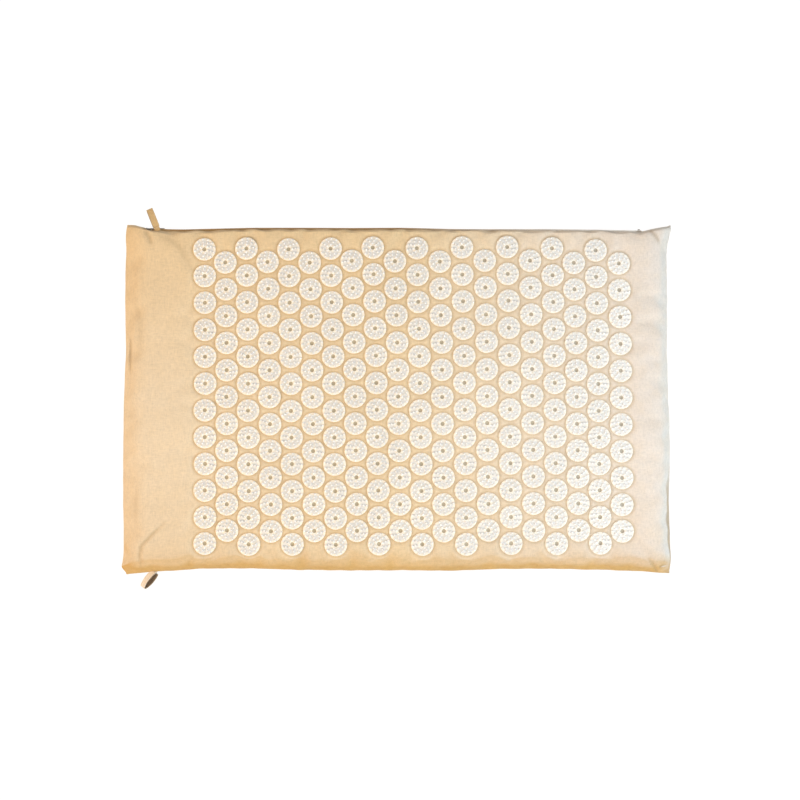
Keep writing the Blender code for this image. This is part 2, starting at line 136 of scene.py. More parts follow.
class Editing:
    """Edit mode on one object for the length of a with block."""

    def __init__(self, piece: bpy.types.Object) -> None:
        """Keeps the object.

        Args:
            piece: The mesh object to edit.
        """
        self.piece = piece

    def __enter__(self) -> "Editing":
        """Enters edit mode with everything selected."""
        take_up(self.piece)
        bpy.ops.object.mode_set(mode="EDIT")
        bpy.ops.mesh.select_all(action="SELECT")
        return self

    def __exit__(self, *problem: object) -> None:
        """Goes back to object mode."""
        bpy.ops.object.mode_set(mode="OBJECT")

    def pick_faces(self, wanted: Callable[[Vector, Vector], bool]) -> None:
        """Selects the faces that pass a test and nothing else.

        Args:
            wanted: Takes a face's centre and normal, and says whether it is wanted.
        """
        bpy.ops.mesh.select_mode(type="FACE")
        bpy.ops.mesh.select_all(action="DESELECT")
        bm = bmesh.from_edit_mesh(self.piece.data)
        for face in bm.faces:
            face.select = wanted(face.calc_center_median(), face.normal)
        bm.select_flush_mode()
        bmesh.update_edit_mesh(self.piece.data)

    def pick_edges(self, wanted: Callable[[Vector, Vector], bool]) -> None:
        """Selects the edges that pass a test and nothing else.

        Args:
            wanted: Takes the places of an edge's two ends, and says whether it is wanted.
        """
        bpy.ops.mesh.select_mode(type="EDGE")
        bpy.ops.mesh.select_all(action="DESELECT")
        bm = bmesh.from_edit_mesh(self.piece.data)
        for edge in bm.edges:
            edge.select = wanted(edge.verts[0].co, edge.verts[1].co)
        bm.select_flush_mode()
        bmesh.update_edit_mesh(self.piece.data)


def named(name: str) -> bpy.types.Object:
    """The active object, given this name."""
    piece = bpy.context.object
    piece.name = name
    piece.data.name = name
    return piece


def settle(piece: bpy.types.Object) -> None:
    """Puts an object's place into its mesh.

    Args:
        piece: The object, which then sits at the origin, unturned and unscaled.
    """
    take_up(piece)
    bpy.ops.object.transform_apply(location=True, rotation=True, scale=True)


def apply_all(piece: bpy.types.Object) -> None:
    """Applies every modifier of a piece, in their order.

    Args:
        piece: The mesh object.
    """
    take_up(piece)
    for step in [modifier.name for modifier in piece.modifiers]:
        bpy.ops.object.modifier_apply(modifier=step)


def bevelled(piece: bpy.types.Object, width: float, segments: int = 2) -> None:
    """Rounds a piece's sharp edges for good.

    Args:
        piece: The mesh object.
        width: The bevel's width.
        segments: How many faces go round an edge.
    """
    step = piece.modifiers.new("edges", "BEVEL")
    step.width = width
    step.segments = segments
    step.limit_method = "ANGLE"
    step.harden_normals = False
    apply_all(piece)


def repeat(piece: bpy.types.Object, count: int, stride: Point) -> None:
    """Copies a piece in a row, all in one mesh.

    Args:
        piece: The mesh object that is copied.
        count: How many there are in the end.
        stride: How far each lies from the one before.
    """
    step = piece.modifiers.new("row", "ARRAY")
    step.count = count
    step.use_relative_offset = False
    step.use_constant_offset = True
    step.constant_offset_displace = stride
    apply_all(piece)


def joined(name: str, pieces: list[bpy.types.Object]) -> bpy.types.Object:
    """Joins mesh objects to one.

    Args:
        name: The joined object's name.
        pieces: The objects, of which the first takes the others in.

    Returns:
        The joined object.
    """
    take_up(*pieces)
    bpy.ops.object.join()
    return named(name)


def copy_of(piece: bpy.types.Object, move: Matrix) -> bpy.types.Object:
    """A copy with its own mesh, moved.

    Args:
        piece: The object to copy.
        move: Where the copy goes, from where the piece is.

    Returns:
        The copy, whose place is in its mesh.
    """
    double = piece.copy()
    double.data = piece.data.copy()
    bpy.context.scene.collection.objects.link(double)
    double.data.transform(move)
    return double


def block(name: str, low: Point, high: Point) -> bpy.types.Object:
    """A box between two corners, as the start of a small hard piece.

    Args:
        name: The object's name.
        low: Its lowest corner.
        high: Its highest corner.

    Returns:
        The box, whose place is in its mesh.
    """
    low, high = Vector(low), Vector(high)
    bpy.ops.mesh.primitive_cube_add(size=1.0, location=(low + high) / 2)
    piece = named(name)
    piece.scale = high - low
    settle(piece)
    return piece


def rod(name: str, radius: float, low: float, high: float, sides: int = 16) -> bpy.types.Object:
    """A round bar along Z through the origin.

    Args:
        name: The object's name.
        radius: Its radius.
        low: The height of its lower end.
        high: The height of its upper end.
        sides: How many faces go round it.

    Returns:
        The bar, whose place is in its mesh.
    """
    middle = (0.0, 0.0, (low + high) / 2)
    bpy.ops.mesh.primitive_cylinder_add(vertices=sides, radius=radius, depth=high - low, location=middle)
    piece = named(name)
    settle(piece)
    return piece


def places(mesh: bpy.types.Mesh) -> np.ndarray:
    """The places of a mesh's vertices, one row each."""
    held = np.empty(len(mesh.vertices) * 3)
    mesh.vertices.foreach_get("co", held)
    return held.reshape(-1, 3)


def put(mesh: bpy.types.Mesh, where: np.ndarray) -> None:
    """Moves a mesh's vertices to these places, one row each."""
    mesh.vertices.foreach_set("co", where.ravel())
    mesh.update()


def mark(mesh: bpy.types.Mesh, name: str, values: np.ndarray) -> None:
    """Keeps one number for each vertex, for the materials to read.

    Args:
        mesh: The mesh.
        name: The attribute's name.
        values: One number for each vertex.
    """
    held = mesh.attributes.new(name, "FLOAT", "POINT")
    held.data.foreach_set("value", values.astype(np.float32))


def ease(value: np.ndarray, start: float, end: float) -> np.ndarray:
    """0 at start and 1 at end, with soft ends.

    Args:
        value: What is compared with start and end.
        start: Where the result is 0.
        end: Where the result is 1. It may be below start.

    Returns:
        The share between them.
    """
    share = np.clip((value - start) / (end - start), 0.0, 1.0)
    return share * share * (3.0 - 2.0 * share)


def finish_piece(
    piece: bpy.types.Object, body: Body, slot: Slot, material: bpy.types.Material, *stands_for: str
) -> None:
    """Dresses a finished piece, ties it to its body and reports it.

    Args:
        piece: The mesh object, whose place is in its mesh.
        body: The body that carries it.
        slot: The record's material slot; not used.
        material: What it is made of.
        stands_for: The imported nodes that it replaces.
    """
    piece.data.materials.clear()
    piece.data.materials.append(material)
    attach(piece, body.value)
    if stands_for:
        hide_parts(*stands_for)
    LOG.info("%s: %d faces", piece.name, len(piece.data.polygons))


class NodeBench:
    """A new Principled material, and short calls that add nodes to it."""

    def __init__(self, name: str) -> None:
        """Makes the material, with its shader and the piece's own coordinates.

        Args:
            name: The material's name.
        """
        self.material = bpy.data.materials.new(name)
        self.material.use_nodes = True
        self.tree = self.material.node_tree
        self.shader = self.tree.nodes["Principled BSDF"]
        self.coords = self.add("ShaderNodeTexCoord").outputs["Object"]

    def add(self, kind: str, **settings: object) -> bpy.types.Node:
        """A new node.

        Args:
            kind: The node's type.
            settings: Its properties.

        Returns:
            The node.
        """
        node = self.tree.nodes.new(kind)
        for key, value in settings.items():
            setattr(node, key, value)
        return node

    def feed(self, target: Socket, value: "Socket | float | tuple") -> None:
        """Links a socket to an input, or sets the input's own value.

        Args:
            target: The input.
            value: What goes in.
        """
        if isinstance(value, Socket):
            self.tree.links.new(value, target)
        else:
            target.default_value = value

    def set(self, **values: "Socket | float | tuple") -> None:
        """Feeds the shader's inputs, named with _ for a space.

        Args:
            values: What each input gets.
        """
        for key, value in values.items():
            words = " ".join(word.upper() if word == "ior" else word.capitalize() for word in key.split("_"))
            self.feed(self.shader.inputs[words], value)

    def attribute(self, name: str) -> Socket:
        """A number that the mesh keeps for each vertex."""
        return self.add("ShaderNodeAttribute", attribute_name=name).outputs["Fac"]

    def math(self, operation: str, *values: "Socket | float") -> Socket:
        """The result of a Math node.

        Args:
            operation: The node's operation.
            values: Its inputs.

        Returns:
            Its output.
        """
        node = self.add("ShaderNodeMath", operation=operation)
        for target, value in zip(node.inputs, values):
            self.feed(target, value)
        return node.outputs[0]

    def both(self, *shares: Socket) -> Socket:
        """The product of shares, which is 1 only where all of them are.

        Args:
            shares: Values from 0 to 1.

        Returns:
            Their product.
        """
        product = shares[0]
        for share in shares[1:]:
            product = self.math("MULTIPLY", product, share)
        return product

    def along(self, axis: Axis, coords: "Socket | None" = None) -> Socket:
        """One coordinate of the piece in metres, or of another vector."""
        node = self.add("ShaderNodeSeparateXYZ")
        self.feed(node.inputs[0], coords or self.coords)
        return node.outputs[axis.value]

    def noise(self, size: float, stretch: Point = (1.0, 1.0, 1.0), detail: float = 3.0) -> Socket:
        """Soft random patches on the piece's own coordinates.

        Args:
            size: About how wide a patch is, in metres.
            stretch: How much the patches are shortened along each axis.
            detail: How much finer structure they hold.

        Returns:
            A value round a half.
        """
        mapping = self.add("ShaderNodeMapping")
        self.feed(mapping.inputs["Vector"], self.coords)
        mapping.inputs["Scale"].default_value = stretch
        node = self.add("ShaderNodeTexNoise")
        self.feed(node.inputs["Vector"], mapping.outputs[0])
        node.inputs["Scale"].default_value = 1.0 / size
        node.inputs["Detail"].default_value = detail
        return node.outputs["Fac"]

    def spread(
        self, value: Socket, low: float, high: float, to_low: float = 0.0, to_high: float = 1.0
    ) -> Socket:
        """A value stretched from one range to another and kept inside it.

        Args:
            value: What is stretched.
            low: Where the first range starts.
            high: Where it ends, which may be below low.
            to_low: What low becomes.
            to_high: What high becomes.

        Returns:
            The stretched value.
        """
        node = self.add("ShaderNodeMapRange")
        for target, number in zip(node.inputs, (value, low, high, to_low, to_high)):
            self.feed(target, number)
        return node.outputs[0]

    def mix(self, share: "Socket | float", first: "Socket | Colour", second: "Socket | Colour") -> Socket:
        """A colour between two others.

        Args:
            share: 0 for the first colour and 1 for the second.
            first: A colour.
            second: Another colour.

        Returns:
            The mixed colour.
        """
        node = self.add("ShaderNodeMix", data_type="RGBA")
        self.feed(node.inputs[0], share)
        for target, colour in ((node.inputs[6], first), (node.inputs[7], second)):
            self.feed(target, colour if isinstance(colour, Socket) else (*colour, 1.0))
        return node.outputs[2]

    def dim(self, colour: Socket, share: Socket, least: float) -> Socket:
        """A colour darkened where a pattern is low.

        Args:
            colour: The colour.
            share: The pattern, from 0 to 1.
            least: What is left of the colour where the pattern is 0.

        Returns:
            The darkened colour.
        """
        node = self.add("ShaderNodeMix", data_type="RGBA", blend_type="MULTIPLY")
        node.inputs[0].default_value = 1.0
        self.feed(node.inputs[6], colour)
        grey = self.add("ShaderNodeCombineColor")
        level = self.spread(share, 0.0, 1.0, least, 1.0)
        for target in grey.inputs:
            if target.name in ("Red", "Green", "Blue"):
                self.feed(target, level)
        self.feed(node.inputs[7], grey.outputs[0])
        return node.outputs[2]

    def ridges(self, value: Socket, pitch: float) -> Socket:
        """Rounded ridges of this pitch across a coordinate, from 0 to 1."""
        turned = self.math("MULTIPLY", value, math.pi / pitch)
        return self.math("ABSOLUTE", self.math("SINE", turned))

    def bump(self, height: Socket, depth: float, under: "Socket | None" = None) -> Socket:
        """A normal that follows a height pattern.

        Args:
            height: The pattern, from 0 to 1.
            depth: How high 1 is, in metres.
            under: The normal of a coarser pattern under it.

        Returns:
            The normal.
        """
        node = self.add("ShaderNodeBump")
        node.inputs["Strength"].default_value = 1.0
        node.inputs["Distance"].default_value = depth
        self.feed(node.inputs["Height"], height)
        if under is not None:
            self.feed(node.inputs["Normal"], under)
        return node.outputs[0]


@dataclass(frozen=True)
class CottonFinish:
    """Plain-woven cotton canvas, warmer towards the end with the loops; with painted shade on its front roll
    and towards its front and back, round and in the discs, in its creases and low on the far end's edge, and
    painted cool light on the far end's shoulder.

    Each span is where a change of the colour starts and where it is complete, along the axis of its name.
    """

    name: str
    loop_end: Colour
    middle: Colour
    far_end: Colour
    # Painted shade: the golden brown that the front roll and the front edge take where the cloth turns away
    # from the lamps.
    side: Colour
    # How strong the painted light and the painted shadow at the far end are.
    right_end_light_and_shade: float
    shaded: Colour = (0.68, 0.49, 0.28)
    # Painted shade: the dark brown in the creases and in the shadow low on the far end's edge.
    edge_and_crease_shade: Colour = (0.42, 0.30, 0.17)
    # Painted shade in the discs' holes, with a cooler one towards the far end.
    recess_shade: Colour = (0.63, 0.56, 0.42)
    far_shaded: Colour = (0.70, 0.57, 0.42)
    far_recess_shade: Colour = (0.67, 0.62, 0.54)
    # Painted cool light: the greyer tone low on the far end's shoulder, which faces the cool lamp.
    wear_and_light: Colour = (0.77, 0.765, 0.74)
    # Painted shade: a deeper golden towards the back edge with the zip, fading out towards the far end; the
    # random dye patches take this colour too.
    back_shade_and_dye: Colour = (0.85, 0.63, 0.36)
    reach: float = 310 * MM
    back_shade_y: Span = (0.0, 210 * MM)
    back_shade_x: Span = (180 * MM, -50 * MM)
    back_shade_share: float = 0.75
    # Painted shade: the cloth takes some of the side colour towards the front.
    front_y: Span = (-90 * MM, -200 * MM)
    front_share: float = 0.16
    right_light_x: Span = (220 * MM, 320 * MM)
    right_light_z: Span = (20.5 * MM, 17.0 * MM)
    # Where the painted shadow low on the far end's edge lies, towards the front.
    edge_shadow_x: Span = (300 * MM, 310 * MM)
    edge_shadow_y: Span = (-80 * MM, -120 * MM)
    edge_shadow_z: Span = (14.5 * MM, 13.0 * MM)
    # Where the painted shade of the front roll lies, by place, height and which way the cloth faces, and how
    # far it spreads forward.
    roll_x: Span = (345 * MM, 318 * MM)
    roll_y: Span = (-170 * MM, -190 * MM)
    roll_z: Span = (22.2 * MM, 18.0 * MM)
    roll_facing: Span = (0.05, -0.20)
    roll_shade_y: Span = (-170 * MM, -200 * MM)
    roll_shade_share: float = 0.55
    cooler_x: Span = (-50 * MM, 310 * MM)
    round_disc: Span = (17.5 * MM, 14.4 * MM)
    contact_share: float = 0.80
    in_hole: Span = (5.0 * MM, 3.0 * MM)
    # How strong the painted shade in the creases is.
    fold_share: float = 0.45
    dye_share: float = 0.12
    thread_pitch: float = 0.55 * MM
    weave_depth: float = 0.07 * MM
    slub_size: float = 0.6 * MM
    slub_run: float = 0.07
    slub_depth: float = 0.10 * MM
    ripple_size: float = 22 * MM
    ripple_depth: float = 0.5 * MM

    def weave(self, bench: NodeBench) -> Socket:
        """The height of crossing threads, each over one and under the next.

        Args:
            bench: The material's nodes.

        Returns:
            The height, from 0 to 1.
        """
        warp = bench.ridges(bench.along(Axis.X), self.thread_pitch)
        weft = bench.ridges(bench.along(Axis.Y), self.thread_pitch)
        checks = bench.add("ShaderNodeTexChecker")
        bench.feed(checks.inputs["Vector"], bench.coords)
        checks.inputs["Scale"].default_value = 1.0 / self.thread_pitch
        over = bench.add("ShaderNodeMix", data_type="FLOAT")
        bench.feed(over.inputs[0], checks.outputs["Fac"])
        bench.feed(over.inputs[2], warp)
        bench.feed(over.inputs[3], weft)
        return over.outputs[0]

    def dyed(self, bench: NodeBench) -> Socket:
        """The cloth's colour over the mat: its own colour along the mat, with painted shade towards the back
        and the front.

        Args:
            bench: The material's nodes.

        Returns:
            The colour.
        """
        x, y = bench.along(Axis.X), bench.along(Axis.Y)
        ground = bench.mix(bench.spread(x, -self.reach, 0.0), self.loop_end, self.middle)
        ground = bench.mix(bench.spread(x, 0.0, self.reach), ground, self.far_end)
        # Painted shade: more golden towards the back edge, less towards the far end.
        towards_zip = bench.spread(y, *self.back_shade_y, 0.0, self.back_shade_share)
        ground = bench.mix(bench.both(towards_zip, bench.spread(x, *self.back_shade_x)), ground, self.back_shade_and_dye)
        # Painted shade towards the front.
        return bench.mix(bench.spread(y, *self.front_y, 0.0, self.front_share), ground, self.side)

    def edge_light_and_shade(self, bench: NodeBench, ground: Socket) -> Socket:
        """The cloth's painted light and shade: greyer cool light low at the far end, a painted shadow low at
        its hem there, and warmer painted shade on the front roll.

        Args:
            bench: The material's nodes.
            ground: The colour so far.

        Returns:
            The new colour.
        """
        x, y, z = (bench.along(axis) for axis in Axis)
        # Painted cool light: greyer low on the far end's shoulder.
        wear_and_light = bench.both(bench.spread(x, *self.right_light_x, 0.0, self.right_end_light_and_shade), bench.spread(z, *self.right_light_z))
        ground = bench.mix(wear_and_light, ground, self.wear_and_light)
        # Painted shadow: dark brown low on the far end's edge, towards the front.
        at_hem = bench.both(bench.spread(z, *self.edge_shadow_z), bench.spread(x, *self.edge_shadow_x))
        edge_shadow = bench.both(at_hem, bench.spread(y, *self.edge_shadow_y, 0.0, self.right_end_light_and_shade))
        ground = bench.mix(edge_shadow, ground, self.edge_and_crease_shade)
        # Painted shade on the front roll, where the cloth faces forward.
        normal = bench.add("ShaderNodeTexCoord").outputs["Normal"]
        facing = bench.spread(bench.along(Axis.Y, normal), *self.roll_facing)
        roll = bench.both(facing, bench.spread(y, *self.roll_y), bench.spread(x, *self.roll_x))
        roll_shade = bench.both(bench.spread(y, *self.roll_shade_y, 0.0, self.roll_shade_share), roll)
        ground = bench.mix(roll_shade, ground, self.side)
        return bench.mix(bench.both(roll, bench.spread(z, *self.roll_z)), ground, self.side)

    def sewn(self, bench: NodeBench, ground: Socket) -> Socket:
        """The cloth under its discs: painted shade round them and in their holes, and painted shade in the
        folds.

        Args:
            bench: The material's nodes.
            ground: The colour so far.

        Returns:
            The new colour.
        """
        away = bench.attribute(DISC_DISTANCE)
        # Towards the far end the painted shade round and in the discs turns cooler, as under the cool lamp.
        cooler = bench.spread(bench.along(Axis.X), *self.cooler_x)
        shaded = bench.mix(cooler, self.shaded, self.far_shaded)
        recess_shade = bench.mix(cooler, self.recess_shade, self.far_recess_shade)
        ground = bench.mix(bench.spread(away, *self.round_disc, 0.0, self.contact_share), ground, shaded)
        # Painted shade in the discs' holes.
        ground = bench.mix(bench.spread(away, *self.in_hole), ground, recess_shade)
        # Painted shade in the creases.
        return bench.mix(bench.math("MULTIPLY", bench.attribute(FOLD), self.fold_share), ground, self.edge_and_crease_shade)

    def material(self) -> bpy.types.Material:
        """The finished canvas."""
        bench = NodeBench(self.name)
        ground = self.sewn(bench, self.edge_light_and_shade(bench, self.dyed(bench)))
        dye = bench.spread(bench.noise(14 * MM, detail=2.0), 0.35, 0.65)
        # Random dye patches, in the golden colour of the painted back shade.
        ground = bench.mix(bench.math("MULTIPLY", dye, self.dye_share), ground, self.back_shade_and_dye)
        patches = bench.spread(bench.noise(60 * MM, detail=4.0), 0.3, 0.7)
        ground = bench.dim(ground, patches, 0.95)
        mottle = bench.spread(bench.noise(3.5 * MM, detail=4.0), 0.3, 0.7)
        ground = bench.dim(ground, mottle, 0.91)
        warp_slubs = bench.noise(self.slub_size, (1.0, self.slub_run, 1.0), 2.0)
        weft_slubs = bench.noise(self.slub_size, (self.slub_run, 1.0, 1.0), 2.0)
        slubs = bench.math("MULTIPLY", bench.math("ADD", warp_slubs, weft_slubs), 0.5)
        ground = bench.dim(ground, bench.spread(slubs, 0.38, 0.56), 0.88)
        weave = self.weave(bench)
        ripple = bench.bump(bench.noise(self.ripple_size, (1.0, 0.6, 1.0), 2.0), self.ripple_depth)
        thread = bench.bump(slubs, self.slub_depth, ripple)
        bench.set(
            # Painted shade in the low parts of the weave.
            base_color=bench.dim(ground, weave, 0.90),
            roughness=0.92,
            normal=bench.bump(weave, self.weave_depth, thread),
            specular_ior_level=0.25,
            sheen_weight=0.12,
            sheen_roughness=0.6,
        )
        return bench.material


@dataclass(frozen=True)
class PlasticFinish:
    """Moulded white polystyrene, creamier at the rim, with painted shade between the spike rings, painted
    highlights towards the spike tips and painted cool light towards the far end.
    """

    name: str
    # Painted highlight: the spikes whiten towards their tips.
    tip: Colour
    rim: Colour
    # Painted shade between the spike rings.
    recess_shade: Colour
    # Painted cool light on the discs towards the far end.
    cool_light: Colour
    plate_z: float
    tip_z: float

    def material(self) -> bpy.types.Material:
        """The finished plastic."""
        bench = NodeBench(self.name)
        height = bench.spread(bench.along(Axis.Z), self.plate_z, self.tip_z)
        # Painted shade between the spike rings, the plastic's cream at them, and painted highlights up the
        # spikes.
        shade = bench.mix(height, bench.mix(bench.attribute(TONE), self.recess_shade, self.rim), self.tip)
        # Painted cool light towards the far end.
        shade = bench.mix(bench.spread(bench.along(Axis.X), 0.0, 0.30, 0.0, 0.35), shade, self.cool_light)
        batch = bench.spread(bench.noise(45 * MM, detail=1.0), 0.35, 0.65)
        shade = bench.dim(shade, batch, 0.975)
        flow = bench.noise(0.9 * MM, (1.0, 1.0, 0.5), 2.0)
        bench.set(
            base_color=shade,
            roughness=bench.spread(flow, 0.3, 0.7, 0.32, 0.46),
            normal=bench.bump(flow, 0.012 * MM),
            ior=1.5,
            specular_ior_level=0.4,
            subsurface_weight=0.12,
            subsurface_radius=(1.0, 0.9, 0.75),
            subsurface_scale=1.2 * MM,
        )
        return bench.material


@dataclass(frozen=True)
class RibbonFinish:
    """Twill ribbon, whose diagonal ribs run with the band."""

    name: str
    face: Colour
    shade: Colour
    # Painted shade: the dark colour of the loop's inside faces.
    inner: Colour = (0.30, 0.21, 0.13)
    rib_pitch: float = 0.7 * MM
    rib_depth: float = 0.09 * MM
    length: float = 60 * MM
    width: float = 8 * MM
    edge_share: float = 0.09

    def material(self) -> bpy.types.Material:
        """The finished ribbon, laid out by the piece's own map: U across the band and V along it."""
        bench = NodeBench(self.name)
        flat = bench.add("ShaderNodeUVMap", uv_map="band").outputs[0]
        across = bench.along(Axis.X, flat)
        down = bench.along(Axis.Y, flat)
        slant = bench.math(
            "ADD",
            bench.math("MULTIPLY", across, self.width),
            bench.math("MULTIPLY", down, self.length),
        )
        ribs = bench.ridges(slant, self.rib_pitch)
        middle = bench.math("ABSOLUTE", bench.math("SUBTRACT", across, 0.5))
        selvedge = bench.spread(middle, 0.5 - self.edge_share, 0.5 - self.edge_share * 0.6)
        colour = bench.mix(bench.spread(ribs, 0.0, 0.8), self.shade, self.face)
        colour = bench.mix(bench.math("MULTIPLY", selvedge, 0.5), colour, self.shade)
        # Painted shade on the loop's inside faces.
        colour = bench.mix(bench.attribute(INSIDE), colour, self.inner)
        fuzz = bench.noise(0.4 * MM, detail=3.0)
        colour = bench.dim(colour, bench.spread(fuzz, 0.35, 0.65), 0.9)
        rough = bench.bump(fuzz, 0.04 * MM)
        bench.set(
            base_color=colour,
            roughness=0.72,
            normal=bench.bump(ribs, self.rib_depth, rough),
            specular_ior_level=0.35,
            sheen_weight=0.2,
            sheen_roughness=0.45,
        )
        return bench.material


@dataclass(frozen=True)
class TapeFinish:
    """Woven polyester zip tape: a herringbone of fine ribs."""

    name: str
    face: Colour
    shade: Colour
    # The colour that the tape takes towards the far end.
    right_end_tone: Colour
    rib_pitch: float = 0.5 * MM
    bone_width: float = 1.4 * MM

    def material(self) -> bpy.types.Material:
        """The finished tape."""
        bench = NodeBench(self.name)
        folded = bench.math("PINGPONG", bench.along(Axis.Z), self.bone_width)
        ribs = bench.ridges(bench.math("ADD", bench.along(Axis.X), folded), self.rib_pitch)
        colour = bench.mix(ribs, self.shade, self.face)
        # Paler and greyer towards the far end.
        colour = bench.mix(bench.spread(bench.along(Axis.X), 0.0, 0.2, 0.0, 0.85), colour, self.right_end_tone)
        fuzz = bench.noise(0.5 * MM)
        colour = bench.dim(colour, bench.spread(fuzz, 0.35, 0.65), 0.88)
        bench.set(
            base_color=colour,
            roughness=0.8,
            normal=bench.bump(ribs, 0.08 * MM),
            specular_ior_level=0.3,
            sheen_weight=0.15,
        )
        return bench.material


@dataclass(frozen=True)
class NylonFinish:
    """Dyed nylon of zip teeth and sewing thread."""

    name: str
    colour: Colour
    dark: Colour
    roughness: float = 0.38

    def material(self) -> bpy.types.Material:
        """The finished nylon."""
        bench = NodeBench(self.name)
        patches = bench.spread(bench.noise(1.2 * MM, detail=2.0), 0.35, 0.65)
        bench.set(
            base_color=bench.mix(patches, self.dark, self.colour),
            roughness=self.roughness,
            normal=bench.bump(bench.noise(0.25 * MM), 0.02 * MM),
            specular_ior_level=0.45,
        )
        return bench.material


@dataclass(frozen=True)
class MetalFinish:
    """Nickel-plated zinc, brushed along the zip, with small scuffs."""

    name: str
    colour: Colour
    wear_and_light: Colour

    def material(self) -> bpy.types.Material:
        """The finished metal."""
        bench = NodeBench(self.name)
        brush = bench.noise(0.25 * MM, (0.08, 1.0, 1.0), 3.0)
        scuff = bench.spread(bench.noise(1.6 * MM, detail=5.0), 0.52, 0.68)
        bench.set(
            base_color=bench.mix(scuff, self.colour, self.wear_and_light),
            metallic=1.0,
            roughness=bench.spread(bench.math("ADD", brush, scuff), 0.4, 1.6, 0.22, 0.48),
            normal=bench.bump(brush, 0.015 * MM),
        )
        return bench.material


@dataclass(frozen=True)
class FoamFinish:
    """Open-celled polyurethane foam, slightly yellowed."""

    name: str
    skin: Colour
    # Painted shade: the darker colour deep in the cells.
    pore: Colour

    def material(self) -> bpy.types.Material:
        """The finished foam."""
        bench = NodeBench(self.name)
        cells = bench.add("ShaderNodeTexVoronoi")
        bench.feed(cells.inputs["Vector"], bench.coords)
        cells.inputs["Scale"].default_value = 1.0 / (1.3 * MM)
        depth = bench.spread(cells.outputs["Distance"], 0.1, 0.6)
        # Painted shade in the pores.
        colour = bench.mix(depth, self.pore, self.skin)
        colour = bench.dim(colour, bench.spread(bench.noise(40 * MM), 0.3, 0.7), 0.94)
        bench.set(
            base_color=colour,
            roughness=0.95,
            normal=bench.bump(depth, 0.25 * MM),
            specular_ior_level=0.2,
        )
        return bench.material


@dataclass(frozen=True)
class FloorFinish:
    """A pale floor that reads as white to the camera and keeps the object's shadow."""

    colour: Colour = (0.80, 0.72, 0.62)
    lift: float = 0.88
    strength: float = 1.10

    def material(self) -> bpy.types.Material:
        """The floor's material."""
        bench = NodeBench("pale_floor")
        bench.set(base_color=(*self.colour, 1.0), roughness=0.9, specular_ior_level=0.1)
        rays = bench.add("ShaderNodeLightPath").outputs
        seen = bench.math("MAXIMUM", rays["Is Camera Ray"], rays["Is Glossy Ray"])
        seen = bench.math("MAXIMUM", seen, rays["Is Transmission Ray"])
        glow = bench.add("ShaderNodeEmission")
        glow.inputs["Strength"].default_value = self.strength
        blend = bench.add("ShaderNodeMixShader")
        bench.feed(blend.inputs[0], bench.math("MULTIPLY", seen, self.lift))
        bench.feed(blend.inputs[1], bench.shader.outputs[0])
        bench.feed(blend.inputs[2], glow.outputs[0])
        bench.feed(bench.tree.nodes["Material Output"].inputs["Surface"], blend.outputs[0])
        return bench.material


@dataclass(frozen=True)
class SoftBox:
    """A square studio lamp that points at the mat."""

    name: str
    place: tuple[float, float, float]
    size: float
    power: float
    colour: Colour

    def add(self) -> None:
        """Hangs the lamp."""
        bpy.ops.object.light_add(type="AREA", location=self.place)
        lamp = bpy.context.object
        lamp.name = self.name
        lamp.data.shape = "SQUARE"
        lamp.data.size = self.size
        lamp.data.energy = self.power
        lamp.data.color = self.colour
        lamp.rotation_euler = (-Vector(self.place)).to_track_quat("-Z", "Y").to_euler()


